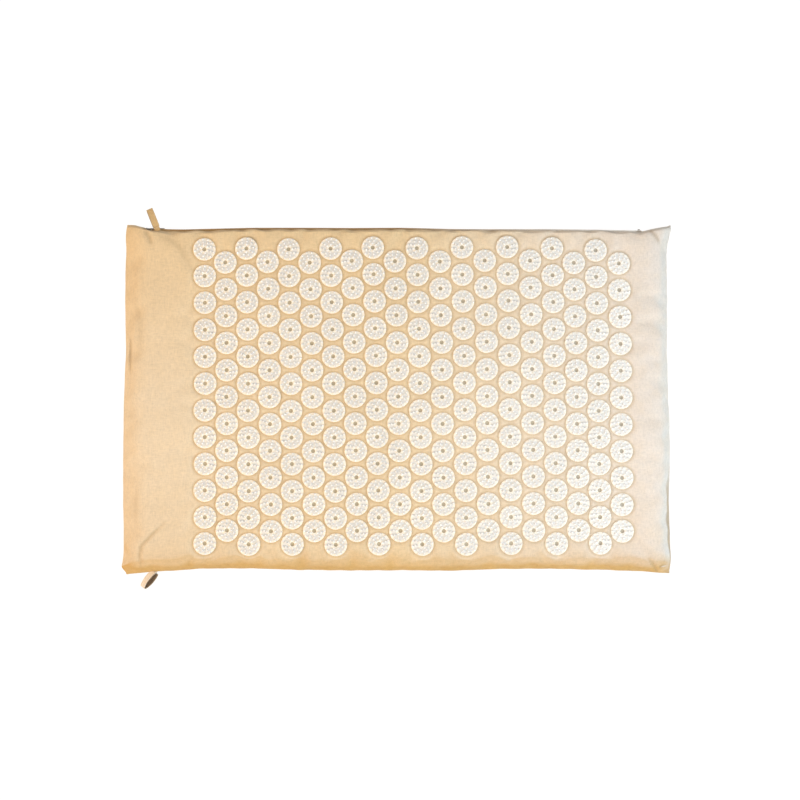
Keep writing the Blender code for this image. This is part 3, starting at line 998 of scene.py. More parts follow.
@dataclass(frozen=True)
class Studio:
    """Floor, lamps and camera."""

    camera_place: tuple[float, float, float] = (0.0044, -0.1239, 2.000)
    camera_aim: tuple[float, float, float] = (0.0044, -0.0030, 0.022)
    lens: float = 72.57
    floor_size: float = 14.0
    floor_gap: float = 0.2 * MM
    sky_strength: float = 0.45
    sky_colour: Colour = (1.0, 1.0, 1.0)
    lamps: tuple[SoftBox, ...] = (
        SoftBox("warm_lamp", (-1.50, -0.30, 1.20), 1.0, 20.0, (1.0, 0.66, 0.30)),
        SoftBox("daylight_lamp", (1.50, -0.30, 1.20), 1.0, 20.3, (0.84, 0.95, 1.0)),
        SoftBox("front_lamp", (0.0, -1.50, 1.30), 1.2, 14.5, (0.90, 0.96, 1.0)),
    )

    def build(self) -> None:
        """Puts the studio round the mat."""
        self.add_camera()
        self.add_floor()
        for lamp in self.lamps:
            lamp.add()
        self.light_sky()
        bpy.context.scene.view_settings.view_transform = "Standard"

    def add_camera(self) -> None:
        """The camera above the mat, a little in front of it."""
        bpy.ops.object.camera_add(location=self.camera_place)
        camera = bpy.context.object
        look = Vector(self.camera_aim) - Vector(self.camera_place)
        camera.rotation_euler = look.to_track_quat("-Z", "Y").to_euler()
        camera.data.lens = self.lens
        bpy.context.scene.camera = camera

    def add_floor(self) -> None:
        """The floor, just under the mat."""
        bpy.ops.mesh.primitive_plane_add(size=self.floor_size, location=(0.0, 0.0, -self.floor_gap))
        floor = named("floor")
        settle(floor)
        floor.data.materials.append(FloorFinish().material())

    def light_sky(self) -> None:
        """Even light from all round, which the camera sees as white."""
        world = bpy.data.worlds.new("studio")
        world.use_nodes = True
        bpy.context.scene.world = world
        tree = world.node_tree
        plain = tree.nodes["Background"]
        plain.inputs["Color"].default_value = (*self.sky_colour, 1.0)
        plain.inputs["Strength"].default_value = self.sky_strength
        white = tree.nodes.new("ShaderNodeBackground")
        white.inputs["Strength"].default_value = 1.0
        white.inputs["Color"].default_value = (1.0, 1.0, 1.0, 1.0)
        rays = tree.nodes.new("ShaderNodeLightPath").outputs
        seen = tree.nodes.new("ShaderNodeMath")
        seen.operation = "MAXIMUM"
        tree.links.new(rays["Is Camera Ray"], seen.inputs[0])
        tree.links.new(rays["Is Transmission Ray"], seen.inputs[1])
        blend = tree.nodes.new("ShaderNodeMixShader")
        tree.links.new(seen.outputs[0], blend.inputs[0])
        tree.links.new(plain.outputs[0], blend.inputs[1])
        tree.links.new(white.outputs[0], blend.inputs[2])
        tree.links.new(blend.outputs[0], tree.nodes["World Output"].inputs["Surface"])


@dataclass(frozen=True)
class Drift:
    """How something strays from its even course, at places along the mat or across it."""

    stations: tuple[tuple[float, float], ...]

    def at(self, along: "float | np.ndarray") -> "float | np.ndarray":
        """How far it strays.

        Args:
            along: One place or several.

        Returns:
            How far it strays there, or at each of them.
        """
        where, far = zip(*self.stations)
        return np.interp(along, where, far)


@dataclass(frozen=True)
class Crease:
    """A soft valley in the cloth along a line of points."""

    line: tuple[tuple[float, float], ...]
    depth: float
    width: float

    def dip(self, plan: np.ndarray) -> np.ndarray:
        """How far the cloth sinks.

        Args:
            plan: Places seen from above, one row each.

        Returns:
            The depth at each place.
        """
        sunk = np.zeros(len(plan))
        whole = len(self.line) - 1
        for index, (start, end) in enumerate(zip(self.line, self.line[1:])):
            start, end = np.array(start), np.array(end)
            run = end - start
            share = np.clip((plan - start) @ run / (run @ run), 0.0, 1.0)
            away = np.linalg.norm(plan - start - share[:, None] * run, axis=1)
            fade = np.sin(np.pi * np.clip((index + share) / whole, 0.04, 0.96)) ** 0.5
            sunk = np.maximum(sunk, fade * np.exp(-((away / self.width) ** 2)))
        return self.depth * sunk


@dataclass(frozen=True)
class Cloth:
    """One cloth of the cover, as a grid that is laid over the foam."""

    node: str
    rim_z: float
    crown: float
    end_shoulder: float
    front_shoulder: float
    back_shoulder: float
    length_cells: int
    width_cells: int
    levels: int

    shoulder_cells: int = 6
    hem: float = 3.0 * MM
    hem_turn: float = 0.12 * MM
    slot_lift: float = 3.5 * MM
    slot_start: float = -0.3215
    slot_end: float = 0.3125
    slot_corner: float = 6.0 * MM
    slider_x: float = -0.3105
    slider_bay: float = 4.5 * MM
    slider_bay_width: float = 8.0 * MM

    @property
    def columns(self) -> int:
        """Cells along the mat, with shoulders and hems."""
        return self.length_cells + 2 * self.shoulder_cells + 2

    @property
    def rows(self) -> int:
        """Cells across the mat, with shoulders and hems."""
        return self.width_cells + 2 * self.shoulder_cells + 2

    def bay(self, x: np.ndarray) -> np.ndarray:
        """How far the upper lip is drawn back from the slider, at places along the zip."""
        if self.crown < 0.0:
            return np.zeros(len(x))
        return self.slider_bay * np.exp(-(((x - self.slider_x) / self.slider_bay_width) ** 2))

    def stations(self, cells: int) -> np.ndarray:
        """Where each line of the grid lies on the way from one hem to the other.

        Args:
            cells: Cells on the flat part.

        Returns:
            -1 for the low hem, 0 to 1 on the low shoulder, 1 to 2 on the flat, 2 to 3 on the high shoulder
            and 4 for the high hem.
        """
        shoulder = np.linspace(0.0, 1.0, self.shoulder_cells + 1)
        flat = np.linspace(1.0, 2.0, cells + 1)[1:-1]
        return np.concatenate(([-1.0], shoulder, flat, 2.0 + shoulder, [4.0]))

    def side(
        self, marks: np.ndarray, half: float, low: float, high: float, skip: np.ndarray
    ) -> tuple[np.ndarray, np.ndarray]:
        """Place along one side and share of the height there.

        Args:
            marks: What stations gives.
            half: Half the side.
            low: Width of the shoulder at the low end.
            high: Width of the shoulder at the high end.
            skip: How much of the high shoulder's turn is left open, at each mark.

        Returns:
            The place and the height share at each mark.
        """
        quarter = math.pi / 2
        low_turn = np.clip(marks, 0.0, 1.0) * quarter
        high_turn = skip + (quarter - skip) * np.clip(3.0 - marks, 0.0, 1.0)
        start, end = -half + low, half - high
        flat = start + (end - start) * np.clip(marks - 1.0, 0.0, 1.0)
        place = np.where(marks < 1.0, start - low * np.cos(low_turn), flat)
        place = np.where(marks > 2.0, end + high * np.cos(high_turn), place)
        height = np.where(marks < 1.0, np.sin(low_turn), 1.0)
        height = np.where(marks > 2.0, np.sin(high_turn), height)
        return place, height


@dataclass
class Cover:
    """The zipped cotton cover: a top cloth and a base cloth that meet at the seam.

    Attributes:
        left: How far the left edge lies outside its straight line, by the place along it.
        right: The same at the right edge.
        back: The same at the back edge, with the zip.
        front: The same at the front edge.
        creases: The valleys pressed into the top cloth.
    """

    ear: float = 4.0 * MM
    seam_z: float = 9.5 * MM
    seam_gap: float = 0.3 * MM
    edge_reach: float = 0.055
    swell_pressure: float = 4.0
    swell_frames: int = 20
    swell_cap: float = 2.2 * MM
    slack: float = 0.016
    cloth_quality: int = 6
    cloth_mass: float = 0.25
    cloth_stiffness: float = 0.6
    floor_touch: float = 1.0 * MM
    disc_radius: float = 14.0 * MM
    fill: float = 0.55
    seat_z: float = 22.12 * MM
    puff: float = 0.9 * MM
    puff_start: float = 14.2 * MM
    puff_end: float = 19.0 * MM
    puff_rise: float = 5.0 * MM
    crease_rise: float = 6.0 * MM

    left: Drift = Drift(
        (
            (-0.215, -3.5 * MM),
            (-0.209, -3.3 * MM),
            (-0.202, 3.2 * MM),
            (-0.194, 0.5 * MM),
            (-0.182, 0.6 * MM),
            (-0.163, 0.9 * MM),
            (-0.126, 1.9 * MM),
            (-0.077, 2.4 * MM),
            (-0.028, 2.4 * MM),
            (-0.003, 2.3 * MM),
            (0.058, 0.2 * MM),
            (0.120, 2.0 * MM),
            (0.157, 1.7 * MM),
            (0.181, 1.0 * MM),
            (0.196, 2.0 * MM),
            (0.203, 1.2 * MM),
            (0.213, -0.5 * MM),
        )
    )
    right: Drift = Drift(
        (
            (-0.215, 0.5 * MM),
            (-0.209, 0.0 * MM),
            (-0.202, 1.0 * MM),
            (-0.194, 2.4 * MM),
            (-0.182, 1.8 * MM),
            (-0.163, 1.5 * MM),
            (-0.126, 0.4 * MM),
            (-0.077, 2.6 * MM),
            (-0.028, 2.4 * MM),
            (-0.003, 1.1 * MM),
            (0.058, 0.2 * MM),
            (0.120, 0.9 * MM),
            (0.157, 1.1 * MM),
            (0.181, 0.9 * MM),
            (0.196, 3.8 * MM),
            (0.203, 6.7 * MM),
            (0.215, 6.0 * MM),
        )
    )
    back: Drift = Drift(
        (
            (-0.335, 5.2 * MM),
            (-0.327, 4.9 * MM),
            (-0.320, 4.3 * MM),
            (-0.312, 3.0 * MM),
            (-0.300, -1.2 * MM),
            (-0.284, -2.4 * MM),
            (-0.266, -2.8 * MM),
            (-0.241, -2.2 * MM),
            (-0.179, -0.7 * MM),
            (-0.118, -0.7 * MM),
            (-0.056, -1.0 * MM),
            (0.005, -0.7 * MM),
            (0.067, -2.0 * MM),
            (0.128, -1.8 * MM),
            (0.190, -1.8 * MM),
            (0.251, -2.5 * MM),
            (0.300, -3.6 * MM),
            (0.319, 0.8 * MM),
            (0.327, 2.9 * MM),
            (0.335, 4.6 * MM),
        )
    )
    front: Drift = Drift(
        (
            (-0.335, 6.0 * MM),
            (-0.319, 4.6 * MM),
            (-0.300, 3.2 * MM),
            (-0.284, 2.3 * MM),
            (-0.266, 1.6 * MM),
            (-0.241, -0.7 * MM),
            (-0.179, -0.9 * MM),
            (-0.118, 0.8 * MM),
            (-0.056, 1.6 * MM),
            (0.005, 1.3 * MM),
            (0.067, 2.0 * MM),
            (0.128, -0.2 * MM),
            (0.190, -0.5 * MM),
            (0.251, 0.8 * MM),
            (0.300, 2.6 * MM),
            (0.319, 3.9 * MM),
            (0.327, 4.4 * MM),
            (0.335, 4.6 * MM),
        )
    )
    creases: tuple[Crease, ...] = (
        Crease(
            (
                (-0.3110, -0.2090),
                (-0.3140, -0.1960),
                (-0.3120, -0.1815),
                (-0.3005, -0.1690),
                (-0.2840, -0.1530),
            ),
            1.5 * MM,
            2.0 * MM,
        ),
        Crease(((-0.3190, -0.1650), (-0.3200, -0.1350), (-0.3170, -0.1050)), 0.7 * MM, 3.5 * MM),
        Crease(((-0.3285, 0.0740), (-0.3290, 0.0520), (-0.3280, 0.0300)), 1.8 * MM, 1.8 * MM),
        Crease(((-0.3120, 0.2080), (-0.3060, 0.1990), (-0.3020, 0.1880)), 1.5 * MM, 3.0 * MM),
        Crease(((-0.3000, 0.2040), (-0.2700, 0.1900), (-0.2480, 0.1500)), 0.8 * MM, 6.0 * MM),
        Crease(((-0.3250, 0.1300), (-0.3150, 0.0900), (-0.3180, 0.0400)), 0.7 * MM, 5.0 * MM),
        Crease(((0.3120, 0.2085), (0.3200, 0.2010), (0.3260, 0.1920)), 1.6 * MM, 2.6 * MM),
        Crease(((0.3090, -0.1980), (0.3150, -0.2060), (0.3200, -0.2140)), 2.0 * MM, 1.8 * MM),
        Crease(((0.3200, -0.2080), (0.3260, -0.2055), (0.3310, -0.2045)), 1.3 * MM, 1.4 * MM),
    )

    def __post_init__(self) -> None:
        """Takes the cover's sizes from the frame."""
        low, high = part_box("top_panel")
        self.half_length = high.x - self.ear
        self.half_width = high.y - self.ear
        top_rim = self.seam_z + self.seam_gap / 2
        base_rim = self.seam_z - self.seam_gap / 2
        self.top = Cloth(
            "top_panel",
            rim_z=top_rim,
            crown=high.z - top_rim,
            end_shoulder=36 * MM,
            front_shoulder=18 * MM,
            back_shoulder=6 * MM,
            length_cells=78,
            width_cells=50,
            levels=2,
        )
        self.base = Cloth(
            "bottom_panel",
            rim_z=base_rim,
            crown=-base_rim,
            end_shoulder=10 * MM,
            front_shoulder=10 * MM,
            back_shoulder=6 * MM,
            length_cells=56,
            width_cells=36,
            levels=1,
        )

    def warp(self, plan: np.ndarray) -> np.ndarray:
        """Draws the straight edges out to their real, uneven line.

        Args:
            plan: Places seen from above, one row each, on a rectangle.

        Returns:
            The places on the cloth.
        """
        x, y = plan[:, 0], plan[:, 1]
        to_left = ease(x, -self.half_length + self.edge_reach, -self.half_length)
        to_right = ease(x, self.half_length - self.edge_reach, self.half_length)
        to_front = ease(y, -self.half_width + self.edge_reach, -self.half_width)
        to_back = ease(y, self.half_width - self.edge_reach, self.half_width)
        moved = plan.copy()
        moved[:, 0] += self.right.at(y) * to_right - self.left.at(y) * to_left
        moved[:, 1] += self.back.at(x) * to_back - self.front.at(x) * to_front
        return moved

    def lay(self, cloth: Cloth) -> tuple[bpy.types.Object, np.ndarray]:
        """Lays a grid over the foam.

        Args:
            cloth: Which cloth.

        Returns:
            The grid's object, and which of its vertices the seam holds.
        """
        bpy.ops.mesh.primitive_grid_add(
            x_subdivisions=cloth.columns, y_subdivisions=cloth.rows, size=2.0, location=(0.0, 0.0, 0.0)
        )
        piece = named(cloth.node + "_cloth")
        grid = places(piece.data)
        column = np.rint((grid[:, 0] + 1.0) / 2 * cloth.columns).astype(int)
        row = np.rint((grid[:, 1] + 1.0) / 2 * cloth.rows).astype(int)
        u = cloth.stations(cloth.length_cells)[column]
        v = cloth.stations(cloth.width_cells)[row]
        x, ends = cloth.side(u, self.half_length, cloth.end_shoulder, cloth.end_shoulder, np.zeros(len(u)))
        opened = ease(x, cloth.slot_start, cloth.slot_start + cloth.slot_corner)
        opened *= ease(x, cloth.slot_end, cloth.slot_end - cloth.slot_corner)
        skip = np.arcsin(cloth.slot_lift / abs(cloth.crown)) * opened
        y, sides = cloth.side(v, self.half_width, cloth.front_shoulder, cloth.back_shoulder, skip)
        z = cloth.rim_z + cloth.crown * ends * sides
        plan = self.warp(np.column_stack((x, y)))
        plan[:, 1] -= cloth.bay(x) * np.clip(v - 2.0, 0.0, 1.0)
        low_x, high_x, low_y, high_y = u < 0.0, u > 3.0, v < 0.0, v > 3.0
        plan[:, 0] += cloth.hem * (low_x.astype(float) - high_x)
        plan[:, 1] += cloth.hem * (low_y.astype(float) - high_y)
        hemmed = low_x | high_x | low_y | high_y
        z = np.where(hemmed, z - math.copysign(cloth.hem_turn, cloth.crown), z)
        put(piece.data, np.column_stack((plan, z)))
        on_rim = hemmed | (u == 0.0) | (u == 3.0) | (v == 0.0) | (v == 3.0)
        return piece, on_rim

    def swell(self, top: bpy.types.Object, base: bpy.types.Object, held: np.ndarray) -> None:
        """Blows both cloths up from inside, as the foam does, and lets them wrinkle a little.

        Args:
            top: The top cloth.
            base: The base cloth.
            held: Which vertices can't move, the top's first.
        """
        trial = joined("trial_cover", [copy_of(top, Matrix.Identity(4)), copy_of(base, Matrix.Identity(4))])
        before = places(trial.data)
        group = trial.vertex_groups.new(name="held")
        group.add(np.flatnonzero(held).tolist(), 1.0, "REPLACE")
        modifier = trial.modifiers.new("cloth", "CLOTH")
        cloth = modifier.settings
        cloth.quality = self.cloth_quality
        cloth.mass = self.cloth_mass
        cloth.vertex_group_mass = "held"
        cloth.shrink_min = -self.slack
        cloth.use_pressure = True
        cloth.uniform_pressure_force = self.swell_pressure
        cloth.bending_stiffness = self.cloth_stiffness
        cloth.effector_weights.gravity = 0.0
        for frame in range(1, self.swell_frames + 1):
            bpy.context.scene.frame_set(frame)
        apply_all(trial)
        moved = places(trial.data) - before
        bpy.context.scene.frame_set(1)
        bpy.data.objects.remove(trial)
        far = np.linalg.norm(moved, axis=1, keepdims=True)
        capped = moved * np.minimum(1.0, self.swell_cap / np.maximum(far, 1e-9))
        LOG.info("cloth moved %.2f mm at most, %.2f mm kept", far.max() / MM, self.swell_cap / MM)
        split = len(top.data.vertices)
        put(top.data, before[:split] + capped[:split])
        low = before[split:] + capped[split:]
        low[:, 2] = np.maximum(low[:, 2], 0.0)
        put(base.data, low)

    def subdivide(self, piece: bpy.types.Object, levels: int) -> None:
        """Rounds a cloth between its grid lines.

        Args:
            piece: The cloth.
            levels: How many times each cell is split.
        """
        step = piece.modifiers.new("smooth", "SUBSURF")
        step.levels = levels
        step.render_levels = levels
        apply_all(piece)

    def seat(self, top: bpy.types.Object, centres: np.ndarray) -> None:
        """Presses the discs into the top cloth, and lays in its creases.

        Args:
            top: The top cloth.
            centres: The middles of the discs, one row each.
        """
        where = places(top.data)
        plan = where[:, :2]
        nearest = np.full(len(plan), 1.0)
        for centre in centres:
            nearest = np.minimum(nearest, np.linalg.norm(plan - centre[:2], axis=1))
        risen = ease(nearest, self.puff_start, self.puff_end)
        level = ease(where[:, 2], self.seam_z + self.puff_rise, self.seat_z)
        lifted = where[:, 2] + self.puff * risen * level
        where[:, 2] = np.where(nearest < self.puff_start, np.minimum(where[:, 2], self.seat_z), lifted)
        mark(top.data, DISC_DISTANCE, nearest)
        fold = np.zeros(len(plan))
        for crease in self.creases:
            sunk = crease.dip(plan)
            fold = np.maximum(fold, (sunk / MM).clip(0.0, 1.0) ** 2)
            where[:, 2] -= sunk * ease(where[:, 2], self.seam_z, self.seam_z + self.crease_rise)
        # How deep each crease is, for the painted shade in it.
        mark(top.data, FOLD, fold)
        put(top.data, where)

    def build(self, centres: np.ndarray) -> None:
        """Makes both cloths.

        Args:
            centres: The middles of the discs, one row each.
        """
        top, top_rim = self.lay(self.top)
        base, base_rim = self.lay(self.base)
        plan = places(top.data)[:, :2]
        under_disc = np.zeros(len(plan), bool)
        for centre in centres:
            under_disc |= np.linalg.norm(plan - centre[:2], axis=1) < self.disc_radius
        flat = places(base.data)[:, 2] < self.floor_touch
        self.swell(top, base, np.concatenate((top_rim | under_disc, base_rim | flat)))
        self.subdivide(top, self.top.levels)
        self.subdivide(base, self.base.levels)
        self.seat(top, centres)
        mark(base.data, DISC_DISTANCE, np.ones(len(base.data.vertices)))
        with Editing(base):
            bpy.ops.mesh.flip_normals()
        self.cloths = (base, top)
        canvas = CottonFinish(
            "cotton_canvas",
            loop_end=(0.85, 0.70, 0.515),
            middle=(0.885, 0.71, 0.475),
            far_end=(0.89, 0.795, 0.72),
            side=(0.64, 0.39, 0.135),
            right_end_light_and_shade=0.7,
        )
        backing = CottonFinish(
            "cotton_backing",
            loop_end=(0.86, 0.70, 0.50),
            middle=(0.86, 0.70, 0.48),
            far_end=(0.87, 0.76, 0.64),
            side=(0.82, 0.60, 0.34),
            right_end_light_and_shade=0.0,
        )
        for piece, cloth, slot, finish in (
            (top, self.top, Slot.COVER, canvas),
            (base, self.base, Slot.BASE, backing),
        ):
            take_up(piece)
            bpy.ops.object.shade_smooth()
            finish_piece(piece, Body.MAT, slot, finish.material(), cloth.node)


@dataclass(frozen=True)
class SpikeRing:
    """A ring of spikes round the middle of a disc."""

    count: int
    radius: float


@dataclass
class DiscField:
    """The columns of moulded discs, each with a holed plate and 27 spikes.

    Attributes:
        tone_rings: Radii of extra rings on the plate's top that carry the plastic's tone.
        creamy_rings: How much of the plate's cream shows at each radius; where less, it takes the painted
            shade between the spike rings.
        columns_right: How far a column is sewn to the right of its even place, by that place.
        columns_back: How far it is sewn toward the back.
        columns_lean: How far it is turned anticlockwise, in radians.
        columns_stretch: By what share its discs are further apart.
        rows_right: How far a row is sewn to the right, by its place across the mat.
        rows_back: How far it is sewn toward the back.
    """

    columns: int = 20
    row_pitch: float = 33 * MM
    radius: float = 14 * MM
    plate: float = 1.2 * MM
    edge: float = 0.35 * MM
    collar: float = 3.7 * MM
    collar_top: float = 0.5 * MM
    hole: float = 2.5 * MM
    tone_rings: tuple[float, ...] = (6.4 * MM, 10.6 * MM, 12.5 * MM)
    creamy_rings: tuple[tuple[float, float], ...] = (
        (5.0 * MM, 1.0),
        (6.4 * MM, 0.0),
        (8.5 * MM, 0.3),
        (10.6 * MM, 0.0),
        (12.5 * MM, 1.0),
    )
    sides: int = 32
    rings: tuple[SpikeRing, ...] = (
        SpikeRing(6, 4.9 * MM),
        SpikeRing(9, 8.5 * MM),
        SpikeRing(12, 12.2 * MM),
    )
    spike_root: float = 1.45 * MM
    spike_tip: float = 0.28 * MM
    spike_height: float = 3.8 * MM
    spike_sides: int = 6
    sunk: float = 0.15 * MM
    seed: int = 11
    wander: float = 0.25 * MM
    columns_right: Drift = Drift(
        (
            (-0.236, 0.2 * MM),
            (-0.158, 1.4 * MM),
            (-0.105, 1.2 * MM),
            (-0.050, 0.3 * MM),
            (0.015, -0.3 * MM),
            (0.080, 0.3 * MM),
            (0.165, 1.6 * MM),
            (0.195, 1.6 * MM),
            (0.245, -0.2 * MM),
            (0.275, -0.4 * MM),
        )
    )
    columns_back: Drift = Drift(
        (
            (-0.236, -0.5 * MM),
            (-0.184, -0.5 * MM),
            (-0.131, -0.9 * MM),
            (-0.080, -0.8 * MM),
            (-0.052, 0.2 * MM),
            (-0.025, 0.3 * MM),
            (0.010, -0.3 * MM),
            (0.060, -0.3 * MM),
            (0.090, 0.4 * MM),
            (0.150, 1.1 * MM),
            (0.215, -0.3 * MM),
            (0.275, -1.4 * MM),
        )
    )
    columns_lean: Drift = Drift(
        (
            (-0.236, 0.008),
            (-0.158, 0.017),
            (-0.050, 0.021),
            (0.005, 0.021),
            (0.030, 0.0165),
            (0.137, 0.008),
            (0.220, 0.0115),
            (0.275, 0.0055),
        )
    )
    columns_stretch: Drift = Drift(
        (
            (-0.236, -0.001),
            (-0.184, 0.005),
            (-0.158, 0.005),
            (-0.125, 0.001),
            (-0.050, 0.0085),
            (0.000, 0.007),
            (0.165, 0.0075),
            (0.195, 0.002),
            (0.248, -0.005),
            (0.275, 0.0),
        )
    )
    rows_right: Drift = Drift(
        (
            (-0.180, -0.4 * MM),
            (-0.150, -0.2 * MM),
            (-0.100, 0.0 * MM),
            (-0.050, 0.05 * MM),
            (0.010, 0.2 * MM),
            (0.065, 0.45 * MM),
            (0.115, 0.05 * MM),
            (0.150, -0.2 * MM),
            (0.180, -0.6 * MM),
        )
    )
    rows_back: Drift = Drift(
        (
            (-0.180, 1.25 * MM),
            (-0.165, 1.0 * MM),
            (-0.150, 0.3 * MM),
            (-0.100, 0.05 * MM),
            (-0.050, -0.65 * MM),
            (0.010, -0.75 * MM),
            (0.050, -0.45 * MM),
            (0.085, 0.0 * MM),
            (0.115, 0.4 * MM),
            (0.150, 0.45 * MM),
            (0.180, 0.75 * MM),
        )
    )

    def node(self, index: int) -> str:
        """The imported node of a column."""
        return f"spike_disc_column_{index + 1:02d}"

    def lines(self) -> list[list[Vector]]:
        """The middles of the discs' undersides, where the sewing put them.

        Returns:
            One list for each column.
        """
        found = []
        for index in range(self.columns):
            low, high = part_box(self.node(index))
            x, y = (low.x + high.x) / 2, (low.y + high.y) / 2
            middle = Vector((x + self.columns_right.at(x), y + self.columns_back.at(x), low.z))
            count = 1 + round((high.y - low.y - 2 * self.radius) / self.row_pitch)
            turn = Matrix.Rotation(self.columns_lean.at(x), 3, "Z")
            pitch = self.row_pitch * (1.0 + self.columns_stretch.at(x))
            offsets = [(step - (count - 1) / 2) * pitch for step in range(count)]
            even = [middle + turn @ Vector((0.0, offset, 0.0)) for offset in offsets]
            found.append([place + self.row_drift(place.y) for place in even])
        return found

    def row_drift(self, y: float) -> Vector:
        """How far the rows were sewn from their even places, at this place across the mat."""
        return Vector((self.rows_right.at(y), self.rows_back.at(y), 0.0))

    def centres(self) -> np.ndarray:
        """The middles of all discs, one row each."""
        return np.array([tuple(place) for line in self.lines() for place in line])

    def plate_profile(self) -> tuple[Span, ...]:
        """Radius and height of each ring round the plate, from its underside up and into the hole."""
        top = self.plate
        lip = top + self.collar_top
        return (
            (self.radius, 0.0),
            (self.radius, top - self.edge),
            (self.radius - self.edge, top),
            *((ring, top) for ring in reversed(self.tone_rings)),
            (self.collar + self.edge, top),
            (self.collar, lip),
            (self.hole + self.edge / 2, lip),
            (self.hole, top),
            (self.hole, 0.0),
            (self.radius, 0.0),
        )

    def model_disc(self) -> bpy.types.Object:
        """One disc at the origin."""
        profile = self.plate_profile()
        bpy.ops.mesh.primitive_circle_add(
            vertices=self.sides, radius=profile[0][0], fill_type="NOTHING", location=(0.0, 0.0, 0.0)
        )
        disc = named("disc")
        with Editing(disc):
            for (radius, height), (next_radius, next_height) in zip(profile, profile[1:]):
                rise = (0.0, 0.0, next_height - height)
                bpy.ops.mesh.extrude_region_move(TRANSFORM_OT_translate={"value": rise})
                share = next_radius / radius
                bpy.ops.transform.resize(value=(share, share, 1.0), center_override=(0.0, 0.0, 0.0))
            bpy.ops.mesh.select_all(action="SELECT")
            bpy.ops.mesh.remove_doubles(threshold=0.01 * MM)
            bpy.ops.mesh.normals_make_consistent(inside=False)
        out = np.linalg.norm(places(disc.data)[:, :2], axis=1)
        # How much cream shows at each radius; the rest takes the painted shade between the spike rings.
        mark(disc.data, TONE, np.interp(out, *zip(*self.creamy_rings)))
        spikes = [self.model_spike(ring, step) for ring in self.rings for step in range(ring.count)]
        disc = joined("disc", [disc, *spikes])
        bpy.ops.object.shade_smooth_by_angle(angle=math.radians(35))
        return disc

    def model_spike(self, ring: SpikeRing, step: int) -> bpy.types.Object:
        """One spike of a ring.

        Args:
            ring: The ring that it stands in.
            step: Which one of the ring it is.

        Returns:
            The spike, sunk a little into the plate.
        """
        turn = FULL_TURN * step / ring.count
        low = self.plate - self.sunk
        bpy.ops.mesh.primitive_cone_add(
            vertices=self.spike_sides,
            radius1=self.spike_root,
            radius2=self.spike_tip,
            depth=self.spike_height + self.sunk,
            end_fill_type="NGON",
            location=(
                ring.radius * math.cos(turn),
                ring.radius * math.sin(turn),
                low + (self.spike_height + self.sunk) / 2,
            ),
            rotation=(0.0, 0.0, turn),
        )
        spike = named("spike")
        settle(spike)
        return spike

    def build(self) -> None:
        """All the columns, each disc turned its own way."""
        disc = self.model_disc()
        chance = random.Random(self.seed)
        low_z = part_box(self.node(0))[0].z
        finish = PlasticFinish(
            "moulded_plastic",
            tip=(0.98, 0.975, 0.965),
            rim=(0.95, 0.865, 0.745),
            recess_shade=(0.74, 0.72, 0.695),
            cool_light=(0.95, 0.965, 0.985),
            plate_z=low_z + self.plate + 0.1 * MM,
            tip_z=low_z + self.plate + 1.4 * MM,
        ).material()
        for index, line in enumerate(self.lines()):
            copies = []
            for place in line:
                off = Vector((chance.uniform(-1, 1), chance.uniform(-1, 1), 0.0)) * self.wander
                turn = Matrix.Rotation(chance.uniform(0.0, FULL_TURN), 4, "Z")
                copies.append(copy_of(disc, Matrix.Translation(place + off) @ turn))
            column = joined(f"discs_{index + 1:02d}", copies)
            finish_piece(column, Body.MAT, Slot.SPIKES, finish, self.node(index))
        bpy.data.objects.remove(disc)


